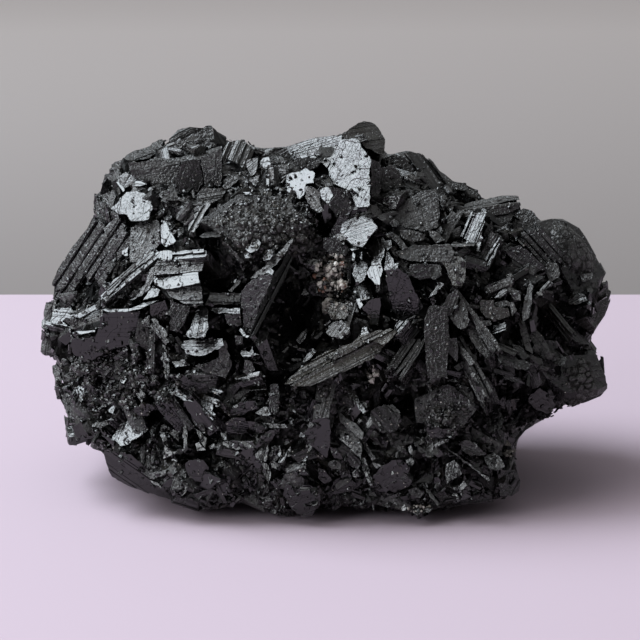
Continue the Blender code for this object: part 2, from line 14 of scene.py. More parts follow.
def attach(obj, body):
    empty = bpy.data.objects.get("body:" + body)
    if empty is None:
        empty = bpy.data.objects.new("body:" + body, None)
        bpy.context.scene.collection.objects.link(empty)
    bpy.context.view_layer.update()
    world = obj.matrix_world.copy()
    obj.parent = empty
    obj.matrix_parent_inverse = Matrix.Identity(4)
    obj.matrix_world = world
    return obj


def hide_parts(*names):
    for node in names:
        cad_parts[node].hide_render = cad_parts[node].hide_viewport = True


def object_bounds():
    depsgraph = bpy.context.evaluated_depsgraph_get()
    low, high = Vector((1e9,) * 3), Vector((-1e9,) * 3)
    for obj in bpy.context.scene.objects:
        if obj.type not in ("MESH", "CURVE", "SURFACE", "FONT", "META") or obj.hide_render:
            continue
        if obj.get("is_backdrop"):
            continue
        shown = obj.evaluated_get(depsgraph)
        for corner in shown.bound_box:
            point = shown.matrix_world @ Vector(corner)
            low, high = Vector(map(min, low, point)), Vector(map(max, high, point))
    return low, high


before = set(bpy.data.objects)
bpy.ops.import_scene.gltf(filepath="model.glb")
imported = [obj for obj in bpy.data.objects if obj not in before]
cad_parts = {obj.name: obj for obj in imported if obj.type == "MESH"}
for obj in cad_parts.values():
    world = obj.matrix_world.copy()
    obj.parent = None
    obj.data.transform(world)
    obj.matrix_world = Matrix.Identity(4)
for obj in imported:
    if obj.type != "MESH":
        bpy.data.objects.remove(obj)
CAD_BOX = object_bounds()

# ---------------------------------------------------------------- the front drawing, as in the part
MM = 0.001
NODE = "tourmaline_cluster"
BODY = "root"
SLOPE = math.radians(12.0)
EYE_DISTANCE = 550.0
EYE_AT = (0.0, 40.0)
PLANE_LIFT = -7.2
CENTRE_SHIFT = (-1.5, -7.15)
VIEW_WIDTH = 128.0  # what the picture spans at the drawing's plane
SENSOR = 36.0

BODY_CENTRE = (2.0, 38.0)
FRONT_DEPTH, FRONT_ROUNDNESS, FRONT_FOLLOW = 33.0, 2.2, 0.8  # follow: how far it keeps to a leaning outline
BACK_DEPTH, BACK_ROUNDNESS, BACK_FOLLOW = 30.0, 0.85, 0.6
FOOT_REACH = 22.0
FOOT_HEIGHT = 24.0
TOP_LEAN, TOP_FROM, TOP_SPAN = 5.0, 50.0, 30.0
ROUNDNESS, SIDE_ROUNDNESS = 2.6, 0.78
BODY_INSET = 0.9
SHOULDER_ROOM = 2.4
BACK_FAN = 18  # degrees
EVEN_FROM = math.radians(20.0)  # past this tilt the outline's details are gone
LUMP_SIZE, LUMP_HEIGHT = 16.0, 2.2
PROUD_SHARE = 0.75
EMBED = 3.0
SHORTEST_DEPTH = 3.0
MOST_LEAN, MOST_WIDER = 0.9, 1.4  # limits on what a face turned away from the drawing gains in size
SCATTER_SEED = 22
SCATTER_TILTS, SCATTER_CROWDING = (0.05, 1.0), 1.3
LOWEST_SCATTER = 2.0
SINK_STEPS, SINK_STEP, SINK_START = 8, 0.08, 0.05  # how a prism that sticks out too far is set deeper
SPLIT_FROM, SPLIT_SPAN = -58.0, 116.0  # the front's crystals are shared out over this width

# ---------------------------------------------------------------- the outline of the front, clockwise
OUTLINE = (
    (-43.2, 13.6), (-45.6, 14.4), (-47.2, 15.2), (-49.4, 14.6), (-50.8, 14.8), (-50.8, 16.8),
    (-51.0, 19.0), (-51.4, 21.6), (-53.2, 24.6), (-53.4, 26.0), (-53.2, 28.0), (-53.8, 30.6),
    (-54.2, 32.4), (-56.0, 33.6), (-56.4, 35.4), (-55.8, 38.4), (-55.6, 42.0), (-54.6, 43.6),
    (-53.8, 46.0), (-53.2, 48.6), (-52.0, 50.6), (-50.0, 54.0), (-48.0, 56.4), (-46.0, 58.8),
    (-45.4, 60.6), (-45.8, 63.4), (-45.2, 65.2), (-43.2, 66.2), (-44.0, 68.2), (-42.4, 70.0),
    (-42.0, 71.4), (-39.6, 71.8), (-38.8, 73.4), (-34.8, 74.6), (-33.4, 76.0), (-30.0, 76.2),
    (-28.0, 78.4), (-26.6, 78.8), (-24.2, 77.6), (-22.2, 79.2), (-18.8, 76.8), (-15.4, 76.8),
    (-11.6, 74.2), (-9.6, 74.6), (-7.8, 74.0), (-3.0, 75.8), (3.0, 77.4), (6.4, 79.0),
    (9.2, 80.0), (11.8, 78.6), (13.4, 76.2), (12.6, 73.2), (14.6, 73.0), (16.2, 73.8),
    (20.0, 73.4), (22.0, 72.2), (26.0, 67.8), (29.4, 67.4), (31.8, 65.8), (32.4, 64.2),
    (36.0, 64.8), (39.6, 64.8), (40.2, 62.4), (42.4, 61.8), (44.2, 59.6), (46.0, 60.2),
    (48.4, 60.2), (52.0, 58.2), (54.0, 55.0), (56.0, 52.0), (57.6, 49.0), (58.2, 44.6),
    (57.2, 41.4), (54.8, 38.0), (54.0, 35.0), (57.0, 33.4), (57.8, 31.4), (57.4, 26.4),
    (56.0, 24.8), (52.0, 23.2), (49.0, 22.2), (46.0, 20.2), (42.0, 18.8), (39.4, 16.8),
    (39.2, 15.2), (39.6, 12.0), (40.2, 7.6), (39.2, 4.6), (36.0, 3.8), (30.0, 3.2),
    (26.0, 1.8), (22.8, 1.8), (19.6, 0.2), (17.0, 1.4), (12.0, 1.6), (5.0, 2.4),
    (1.0, 1.8), (-1.6, 0.2), (-6.4, 0.4), (-11.6, 1.8), (-15.0, 3.4), (-18.8, 2.0),
    (-26.0, 1.8), (-29.6, 3.4), (-33.0, 4.4), (-38.0, 6.8), (-42.0, 8.8), (-42.8, 12.0),
)

# Hollows in the front of the body: (u, v, radius, depth)
HOLLOWS = (
    (2.0, 49.0, 7.0, 8.0), (-19.0, 49.0, 4.5, 6.0), (-46.5, 47.0, 4.0, 4.0), (17.0, 22.0, 4.5, 6.0),
    (-4.0, 39.0, 6.0, 5.0), (29.0, 64.5, 3.5, 4.0), (36.5, 51.5, 4.0, 4.0), (47.0, 38.5, 4.0, 5.0),
    (-30.5, 60.0, 4.0, 4.0), (8.0, 6.0, 5.0, 3.0), (1.0, 58.5, 4.0, 5.0), (21.0, 10.0, 4.0, 4.0),
)

# ---------------------------------------------------------------- which way a prism's broad face looks
SHINE = (-0.43, -0.60, 0.68)
HAZE = (-0.30, -0.80, 0.52)
FRONT = (0.0, -0.98, 0.20)
RAISED = (0.0, -0.85, 0.52)
DOWN = (0.0, -0.95, -0.31)
UP = (-0.10, -0.40, 0.91)
LEFT = (-0.60, -0.75, 0.28)
RIGHT = (0.62, -0.74, 0.25)
UP_RIGHT = (0.45, -0.66, 0.60)
DARK = (0.22, -0.96, 0.12)
LOW_SHINE = (-0.39, -0.88, 0.28)

Lying = namedtuple("Lying", "u v angle length width face proud slats", defaults=(1,))
Standing = namedtuple("Standing", "u v width height face proud turn", defaults=(0,))

# Smaller prisms between the flat faces, which show their side. (u, v): middle of the face; angle: the
# long axis from +u, in degrees; proud: how far the face stands out of the body; slats: parallel ribs
# that it is split into. All are millimetres of the drawing.
LYING = (
    Lying(-26.6, 77.0, 25, 7.0, 3.0, FRONT, 0.5), Lying(-48.0, 52.4, 55, 15.0, 5.5, LEFT, 2.0, 3),
    Lying(-42.4, 53.6, 55, 13.0, 5.5, LEFT, 3.0, 4), Lying(-52.3, 47.6, 82, 8.0, 2.2, LEFT, 1.0),
    Lying(-37.8, 49.0, 39, 14.0, 1.8, SHINE, 4.0), Lying(-52.4, 38.8, -12, 5.4, 0.9, SHINE, 2.5),
    Lying(-54.3, 41.4, 85, 4.6, 2.0, LEFT, 0.8), Lying(-54.6, 35.2, 80, 3.6, 3.0, LEFT, 0.8),
    Lying(-27.8, 53.0, 3, 9.6, 1.8, SHINE, 5.0), Lying(-32.4, 37.8, -52, 5.0, 1.2, HAZE, 5.0),
    Lying(-33.6, 33.8, 88, 8.4, 1.1, FRONT, 4.0), Lying(-30.8, 31.6, -75, 5.0, 1.2, HAZE, 4.0),
    Lying(-37.0, 34.0, -75, 4.0, 1.6, FRONT, 4.0), Lying(-24.0, 29.6, 5, 6.0, 1.4, UP, 4.0),
    Lying(-48.6, 15.9, 5, 4.0, 2.0, DOWN, 1.0), Lying(-28.0, 8.4, 75, 3.4, 2.2, RAISED, 4.0),
    Lying(-27.6, 21.2, -56, 8.0, 1.8, FRONT, 4.0), Lying(-23.8, 20.8, -50, 9.0, 3.0, DOWN, 4.5),
    Lying(-23.4, 22.4, -40, 6.4, 1.4, SHINE, 5.5, 2), Lying(-22.8, 24.6, -20, 6.4, 1.0, SHINE, 5.0),
    Lying(-33.4, 18.6, 60, 3.0, 1.0, SHINE, 4.0), Lying(-26.5, 3.6, -20, 6.0, 3.0, DOWN, 3.0),
    Lying(-14.6, 28.9, 8, 4.4, 0.8, SHINE, 4.4), Lying(-18.4, 13.4, -10, 5.0, 2.0, DOWN, 4.0),
    Lying(-9.0, 14.4, 50, 2.4, 1.0, HAZE, 4.5), Lying(-7.2, 13.0, 70, 3.0, 1.0, SHINE, 4.5),
    Lying(-4.8, 9.4, 20, 3.4, 2.4, DOWN, 4.5), Lying(-1.6, 21.0, 70, 4.0, 2.4, DOWN, 4.4),
    Lying(1.0, 24.6, 82, 8.4, 3.6, RAISED, 4.0), Lying(9.0, 10.0, -72, 6.0, 0.9, HAZE, 5.5),
    Lying(16.4, 7.0, 36, 5.0, 2.6, DOWN, 3.6), Lying(4.6, 6.6, 10, 5.0, 2.4, DOWN, 3.4),
    Lying(5.0, 13.4, -40, 3.6, 2.2, FRONT, 3.6), Lying(19.0, 2.8, 110, 3.0, 1.4, SHINE, 3.5),
    Lying(14.0, 4.0, -12, 9.0, 2.4, FRONT, 3.0), Lying(-14.0, 5.4, -25, 7.0, 3.0, RAISED, 3.0),
    Lying(17.5, 33.0, 55, 8.0, 4.0, RAISED, 3.0, 4), Lying(16.2, 39.0, 50, 3.4, 1.6, SHINE, 4.0, 2),
    Lying(-9.2, 72.3, 30, 6.0, 4.0, FRONT, 3.0), Lying(33.6, 61.8, 8, 12.0, 2.0, FRONT, 3.0),
    Lying(14.0, 72.0, 20, 3.0, 2.4, FRONT, 1.0), Lying(34.0, 54.0, 63, 7.0, 3.0, FRONT, 4.0, 3),
    Lying(25.4, 59.4, 55, 6.0, 1.0, RAISED, 3.0),
    Lying(51.0, 53.4, -60, 17.0, 9.0, (0.5, -0.7, 0.5), 1.2), Lying(56.0, 42.2, 72, 8.0, 3.0, RIGHT, 1.0),
    Lying(44.6, 54.4, -48, 8.0, 5.0, FRONT, 3.0, 5), Lying(52.6, 40.6, 20, 2.0, 0.9, SHINE, 2.5),
    Lying(47.6, 41.0, -52, 9.0, 0.9, RAISED, 3.0),
    Lying(52.0, 29.4, 5, 11.0, 9.0, (0.25, -0.9, 0.36), 2.5),
    Lying(31.4, 40.4, -54, 15.0, 1.0, RAISED, 5.0), Lying(32.6, 36.0, -55, 9.0, 2.6, RAISED, 4.6, 3),
    Lying(30.6, 30.4, -62, 14.0, 1.8, RAISED, 5.0, 3), Lying(35.6, 46.8, 20, 5.0, 2.0, RAISED, 3.5, 2),
    Lying(37.0, 34.4, -25, 5.0, 1.4, RAISED, 4.0), Lying(33.4, 25.6, -60, 6.0, 3.0, FRONT, 4.0),
    Lying(33.0, 15.6, -30, 7.0, 2.6, FRONT, 3.6), Lying(31.0, 4.6, 5, 7.0, 2.4, FRONT, 2.5),
)

# Prisms that show their end. (u, v): middle of the end face; turn: its turn in the drawing, in degrees.
STANDING = (
    Standing(-12.6, 60.2, 16.0, 9.6, RAISED, 2.5, 5), Standing(24.6, 22.0, 10.0, 8.6, FRONT, 4.0),
    Standing(-40.8, 70.4, 3.8, 3.4, LEFT, 0.8, 15), Standing(-42.4, 67.6, 3.8, 3.6, LEFT, 0.6),
    Standing(-43.4, 63.8, 4.2, 4.2, LEFT, 0.6, 30), Standing(-43.0, 60.8, 3.8, 3.0, LEFT, 0.6, 10),
)

# Flat faces that the front shows whole. proud: how far the face's middle stands out of the body;
# lines: the way that its striations run, in degrees; ribs: how strong they are; corners: (u, v) in turn;
# coarse: 0 mirror-like to 1 dull, and over 1 painted shade; or none for what is usual for a face turned
# that way; tone: as below.
Facet = namedtuple("Facet", "face proud lines ribs corners coarse tone", defaults=(None, 0.0))
TOP_LEFT_FACES = (
    Facet(SHINE, 6.0, 80, 0.6, (
        (-41.8, 62.2), (-40.2, 63.8), (-40.0, 64.4), (-38.8, 65.6), (-36.8, 65.8), (-35.2, 65.4),
        (-34.2, 64.8), (-33.8, 63.6), (-33.4, 62.6), (-34.0, 61.4), (-34.2, 60.2), (-35.8, 59.8),
        (-37.8, 59.8), (-38.6, 61.0), (-40.4, 61.2)), 0.2),
    Facet(SHINE, 4.6, 100, 0.4, (
        (-31.8, 60.0), (-31.0, 59.8), (-29.8, 57.6), (-28.8, 55.8), (-30.0, 55.0), (-30.8, 54.6),
        (-31.8, 55.6), (-31.8, 57.2)), 0.05),
    Facet(SHINE, 4.6, 60, 0.5, (
        (-39.6, 53.8), (-38.2, 54.8), (-38.4, 52.8), (-39.0, 52.8), (-39.6, 53.2))),
    Facet(SHINE, 4.8, 0, 0.5, (
        (-37.0, 67.8), (-35.8, 67.8), (-34.6, 67.2), (-36.0, 66.8), (-37.0, 66.8))),
    Facet(SHINE, 4.8, -50, 0.5, ((-40.8, 67.6), (-40.2, 67.8), (-39.0, 66.0), (-39.4, 65.6))),
    Facet(HAZE, 3.4, 60, 1.0, (
        (-40.6, 67.8), (-40.0, 68.8), (-38.8, 69.6), (-37.6, 69.0), (-37.2, 67.2), (-38.4, 66.6),
        (-39.2, 66.4))),
    Facet(HAZE, 3.6, 50, 1.0, (
        (-43.4, 58.4), (-42.0, 59.6), (-39.0, 59.6), (-38.2, 58.4), (-38.6, 56.6), (-40.4, 55.8),
        (-42.4, 56.4)), 0.55),
    Facet(HAZE, 3.8, 62, 1.0, (
        (-37.8, 58.4), (-36.0, 59.6), (-32.4, 60.0), (-32.0, 57.6), (-32.2, 55.0), (-33.6, 53.0),
        (-36.0, 51.6), (-38.0, 51.6), (-38.2, 55.0)), 0.5),
    Facet(FRONT, 3.2, 8, 0.8, (
        (-38.4, 71.4), (-32.0, 72.0), (-27.8, 71.8), (-28.8, 68.4), (-30.0, 66.0), (-32.4, 66.0),
        (-34.4, 67.6), (-37.0, 68.4), (-38.0, 69.6)), 0.7),
    Facet(DARK, 3.6, 70, 0.4, (
        (-27.6, 71.6), (-26.0, 72.0), (-24.0, 72.0), (-23.6, 69.6), (-23.4, 67.2), (-25.0, 65.2),
        (-27.4, 65.2), (-29.0, 66.0), (-29.0, 68.0), (-28.4, 70.0)), 0.35),
    Facet(FRONT, 3.2, 85, 0.6, (
        (-24.0, 72.4), (-19.6, 74.4), (-19.6, 71.0), (-19.8, 66.8), (-23.0, 66.8), (-23.4, 69.6)), 0.55),
    Facet(UP, 3.0, 10, 1.0, (
        (-34.0, 72.2), (-28.0, 72.4), (-24.0, 73.6), (-19.6, 74.8), (-19.6, 74.2), (-24.0, 72.2),
        (-28.0, 71.6), (-34.0, 71.6))),
    Facet(RAISED, 0.8, 42, 1.4, (
        (-30.0, 75.8), (-27.4, 78.4), (-26.0, 77.8), (-27.6, 76.0), (-31.0, 74.0), (-32.4, 74.0)), 0.5),
    Facet(RAISED, 1.2, 8, 1.6, (
        (-27.6, 76.0), (-25.6, 77.2), (-24.0, 77.6), (-22.8, 78.8), (-21.6, 78.8), (-21.2, 76.4),
        (-21.6, 75.0), (-25.0, 74.8), (-28.4, 74.2), (-31.0, 74.0)), 0.5),
    Facet(RIGHT, 1.0, -60, 0.5, (
        (-21.6, 78.6), (-18.8, 76.4), (-18.2, 75.4), (-19.2, 74.6), (-21.4, 74.8), (-21.2, 76.4)), 0.1),
    Facet(UP, 1.2, 20, 1.2, (
        (-39.2, 72.4), (-37.6, 73.6), (-34.0, 74.8), (-32.4, 76.0), (-30.4, 76.0), (-32.0, 74.0),
        (-34.0, 72.4), (-36.0, 72.2), (-38.4, 71.6))),
    Facet(RAISED, 2.4, 67, 5.0, (
        (-18.6, 75.6), (-16.4, 76.0), (-14.6, 75.4), (-13.2, 74.0), (-14.0, 72.0), (-15.0, 70.0),
        (-16.8, 69.8), (-18.4, 70.2), (-19.6, 70.8), (-19.4, 73.6)), 0.5),
    Facet(HAZE, 4.4, 60, 3.0, (
        (-24.0, 62.2), (-22.8, 63.6), (-21.8, 63.2), (-23.4, 60.8), (-25.0, 57.6), (-26.4, 57.6),
        (-26.2, 59.2)), 0.15),
    Facet(RAISED, 3.4, -20, 1.2, (
        (-31.8, 65.8), (-30.8, 66.0), (-27.8, 64.4), (-26.0, 64.2), (-26.4, 63.6), (-31.0, 64.0),
        (-32.2, 64.8))),
    Facet(RAISED, 3.2, 10, 2.0, (
        (-24.4, 65.4), (-23.4, 66.4), (-18.8, 66.0), (-19.6, 64.4), (-22.0, 63.2), (-24.6, 63.0))),
    Facet(UP, 3.2, 5, 1.0, (
        (-24.2, 56.8), (-23.0, 57.6), (-21.0, 57.8), (-19.6, 57.0), (-20.8, 56.4), (-23.4, 56.4))),
    Facet(FRONT, 2.6, 80, 0.6, ((-22.2, 62.4), (-19.8, 62.4), (-19.8, 59.4), (-22.4, 59.4))),
    Facet(RAISED, 3.6, 30, 1.0, (
        (-19.6, 66.8), (-17.6, 68.8), (-16.0, 68.4), (-18.0, 66.4), (-19.0, 66.2))),
)
TOP_FACES = (
    Facet(SHINE, 3.6, 70, 0.5, (
        (-12.2, 71.6), (-11.4, 72.4), (-10.2, 72.6), (-9.8, 71.2), (-10.4, 70.4), (-11.6, 69.6),
        (-12.2, 70.4))),
    Facet(UP, 3.0, 30, 0.8, (
        (-11.8, 72.8), (-10.0, 74.0), (-8.6, 74.6), (-8.4, 74.0), (-9.8, 72.8), (-11.6, 72.4))),
    Facet(HAZE, 3.0, 40, 1.0, (
        (-14.6, 72.0), (-12.4, 72.4), (-12.8, 69.6), (-14.0, 68.8), (-14.6, 70.4)), 0.3),
    Facet(HAZE, 3.0, 20, 1.0, ((-14.0, 68.4), (-12.0, 69.0), (-12.8, 66.8), (-14.4, 67.2)), 0.3),
    Facet(SHINE, 4.0, 16, 2.2, (
        (-8.0, 74.0), (-6.8, 74.6), (-2.8, 76.0), (2.0, 76.8), (4.4, 77.0), (4.4, 75.8), (2.8, 74.0),
        (1.4, 72.4), (-1.2, 72.4), (-4.6, 71.8), (-6.0, 72.4), (-7.2, 73.6)), 0.2),
    Facet(FRONT, 3.6, 20, 0.8, (
        (-5.8, 71.2), (-4.8, 72.4), (-1.2, 72.4), (0.2, 72.0), (-0.4, 70.6), (-2.0, 70.0),
        (-5.6, 69.8)), 0.7),
    Facet(SHINE, 5.0, 75, 0.4, (
        (-6.8, 68.4), (-6.4, 69.2), (-4.6, 69.6), (-2.8, 70.4), (-2.0, 69.8), (-1.0, 69.4), (-1.2, 67.4),
        (-2.8, 67.2), (-3.2, 65.0), (-4.0, 64.2), (-5.4, 64.4), (-6.6, 66.4)), 0.04),
    Facet(SHINE, 5.4, 62, 1.0, (
        (4.0, 76.0), (6.4, 76.4), (7.6, 76.2), (8.4, 74.4), (10.0, 72.6), (10.2, 71.0), (9.8, 69.0),
        (10.0, 66.6), (10.0, 63.0), (9.0, 62.6), (7.2, 62.6), (6.4, 65.0), (5.6, 66.0), (3.0, 67.2),
        (1.8, 68.8), (1.6, 70.4), (2.8, 73.2)), 0.16),
    Facet(HAZE, 4.6, 62, 1.0, (
        (0.2, 71.6), (2.2, 72.6), (3.8, 75.6), (2.8, 72.8), (1.4, 70.4), (0.8, 71.0)), 0.1),
    Facet(SHINE, 5.2, 40, 0.4, ((8.2, 61.2), (9.0, 62.4), (10.2, 63.0), (10.4, 61.0), (8.8, 60.8)), 0.03),
    Facet(FRONT, 4.6, 88, 0.8, (
        (10.2, 72.4), (12.0, 71.6), (12.2, 66.0), (11.8, 61.0), (12.0, 58.4), (10.6, 61.2),
        (10.2, 66.0)), 0.45),
    Facet(UP_RIGHT, 2.6, 10, 1.6, (
        (4.4, 77.0), (6.0, 78.4), (7.6, 79.4), (8.8, 79.8), (10.4, 79.6), (11.4, 78.8), (12.0, 78.0),
        (13.0, 76.2), (13.0, 74.0), (12.6, 72.8), (11.0, 73.6), (9.2, 74.4), (8.2, 75.8), (7.6, 76.2),
        (6.4, 76.4), (5.0, 76.2)), 0.6, 0.5),
    Facet(HAZE, 4.2, -50, 4.0, (
        (-3.0, 66.8), (-1.6, 66.6), (0.0, 65.4), (0.0, 63.4), (0.8, 62.0), (-0.4, 61.4), (-1.8, 62.4),
        (-3.0, 64.6)), 0.15),
    Facet(SHINE, 5.4, 70, 1.4, (
        (0.0, 66.0), (1.2, 66.6), (2.6, 66.4), (2.6, 64.8), (1.6, 63.2), (0.4, 64.2)), 0.15),
    Facet(DARK, 5.0, 60, 0.6, (
        (1.6, 66.8), (3.6, 66.4), (6.0, 65.8), (6.4, 63.0), (5.8, 60.4), (4.0, 61.0), (2.4, 62.0),
        (1.6, 63.2), (2.8, 64.8)), 0.4),
    Facet(SHINE, 4.6, 20, 0.5, (
        (4.0, 57.6), (4.4, 59.2), (5.4, 60.0), (7.4, 60.8), (9.2, 60.6), (10.4, 60.2), (11.6, 58.4),
        (10.6, 57.4), (9.6, 56.0), (8.4, 54.6), (6.8, 54.8), (5.4, 56.0)), 0.18),
    Facet(SHINE, 5.0, 0, 0.5, ((6.0, 54.2), (7.4, 54.8), (7.8, 54.2), (6.4, 53.8))),
    Facet(SHINE, 6.0, -74, 2.6, (
        (10.4, 55.4), (11.0, 56.2), (12.6, 56.6), (13.2, 55.0), (12.8, 52.8), (12.2, 51.6), (12.6, 50.0),
        (12.0, 48.4), (12.0, 47.0), (11.0, 47.2), (9.6, 48.6), (9.2, 49.6), (10.2, 51.0),
        (10.6, 52.6)), 0.1),
    Facet(SHINE, 6.0, -65, 2.6, (
        (12.8, 55.8), (14.2, 56.0), (14.4, 54.6), (13.4, 53.8), (14.6, 52.4), (14.8, 51.2), (15.8, 51.4),
        (15.6, 50.4), (14.0, 49.8), (12.8, 50.0), (13.0, 52.4)), 0.2),
    Facet(SHINE, 5.4, -70, 1.0, (
        (7.2, 51.6), (9.2, 52.2), (9.6, 50.4), (8.8, 48.0), (7.4, 47.2), (6.4, 49.2)), 0.3),
    Facet(SHINE, 5.6, -80, 0.5, ((6.6, 53.6), (7.2, 53.6), (6.8, 51.8), (6.4, 52.0))),
    Facet(SHINE, 5.6, -80, 0.5, ((8.2, 53.6), (8.8, 53.6), (8.4, 52.0), (8.0, 52.4))),
    Facet(FRONT, 3.6, 40, 0.5, (
        (0.6, 56.4), (3.2, 56.6), (6.0, 54.0), (5.2, 52.8), (2.6, 52.6), (0.6, 54.4)), 0.45),
    Facet(FRONT, 3.6, 80, 0.6, (
        (12.0, 70.4), (14.4, 71.0), (16.0, 69.6), (16.4, 67.6), (15.6, 66.0), (12.8, 65.6),
        (12.2, 67.0)), 0.6),
    Facet(RAISED, 3.4, 25, 0.6, (
        (13.8, 61.6), (14.8, 63.2), (16.8, 63.8), (21.0, 66.0), (23.6, 64.8), (24.0, 61.6), (23.4, 58.4),
        (21.0, 57.6), (16.4, 58.6), (14.6, 59.6)), 0.5),
    Facet(RAISED, 3.8, -10, 1.0, (
        (16.0, 58.0), (18.4, 58.0), (21.0, 57.0), (20.8, 56.0), (18.4, 55.6), (16.4, 56.4)), 0.6),
    Facet(RAISED, 3.8, -50, 1.0, (
        (14.4, 57.6), (15.6, 56.8), (17.6, 54.4), (16.4, 54.0), (15.2, 55.6), (14.0, 56.8)), 0.6),
    Facet(RAISED, 4.0, 0, 1.2, (
        (18.4, 54.8), (26.0, 55.2), (27.0, 53.6), (26.0, 51.6), (20.0, 51.6), (16.0, 52.4),
        (15.0, 53.6)), 0.6),
    Facet(FRONT, 3.8, 20, 0.5, (
        (18.0, 51.2), (22.4, 51.2), (22.0, 48.4), (20.0, 48.0), (17.6, 49.0)), 0.45),
    Facet(RAISED, 3.8, 60, 0.8, ((22.4, 51.2), (24.0, 51.0), (24.4, 49.0), (23.0, 48.0), (22.0, 48.4))),
    Facet(DOWN, 4.0, 75, 0.6, (
        (13.0, 50.0), (15.6, 50.4), (17.6, 49.0), (18.4, 47.0), (20.0, 44.0), (19.6, 41.2), (16.0, 40.4),
        (14.4, 42.0), (13.6, 46.0)), 0.2),
    Facet(HAZE, 4.8, 0, 0.5, ((13.0, 49.0), (15.8, 49.0), (15.8, 48.6), (13.0, 48.6)), 0.1),
    Facet(DOWN, 3.8, 80, 0.5, (
        (8.4, 42.4), (10.0, 44.0), (12.0, 44.4), (12.0, 41.6), (11.6, 39.0), (10.0, 39.0),
        (9.6, 41.0)), 0.1),
    Facet(SHINE, 4.6, -80, 1.2, (
        (8.4, 38.4), (9.4, 38.6), (9.8, 36.8), (9.8, 35.4), (8.8, 35.8), (8.2, 37.2))),
    Facet(SHINE, 4.4, -60, 0.5, ((7.2, 44.2), (8.0, 44.4), (8.6, 43.0), (8.0, 42.2), (7.6, 43.0))),
    Facet(HAZE, 5.4, 50, 0.3, (
        (1.2, 37.6), (2.2, 39.2), (4.2, 40.0), (6.0, 38.4), (5.8, 37.4), (4.4, 36.2), (2.4, 36.6),
        (1.4, 37.2)), 0.12),
    Facet(HAZE, 4.8, 50, 1.6, (
        (2.0, 42.8), (4.0, 43.6), (5.6, 42.8), (5.6, 41.0), (5.0, 40.2), (2.4, 40.0),
        (1.6, 41.6)), 0.5, 0.75),
    Facet(FRONT, 5.4, 88, 0.4, (
        (20.8, 40.0), (22.0, 42.8), (25.4, 42.8), (25.8, 36.0), (25.4, 28.4), (21.6, 28.4),
        (21.0, 34.0)), 0.35),
    Facet(HAZE, 4.0, 50, 0.6, ((21.6, 44.4), (24.0, 47.6), (24.8, 47.2), (23.2, 45.2)), 0.3),
)
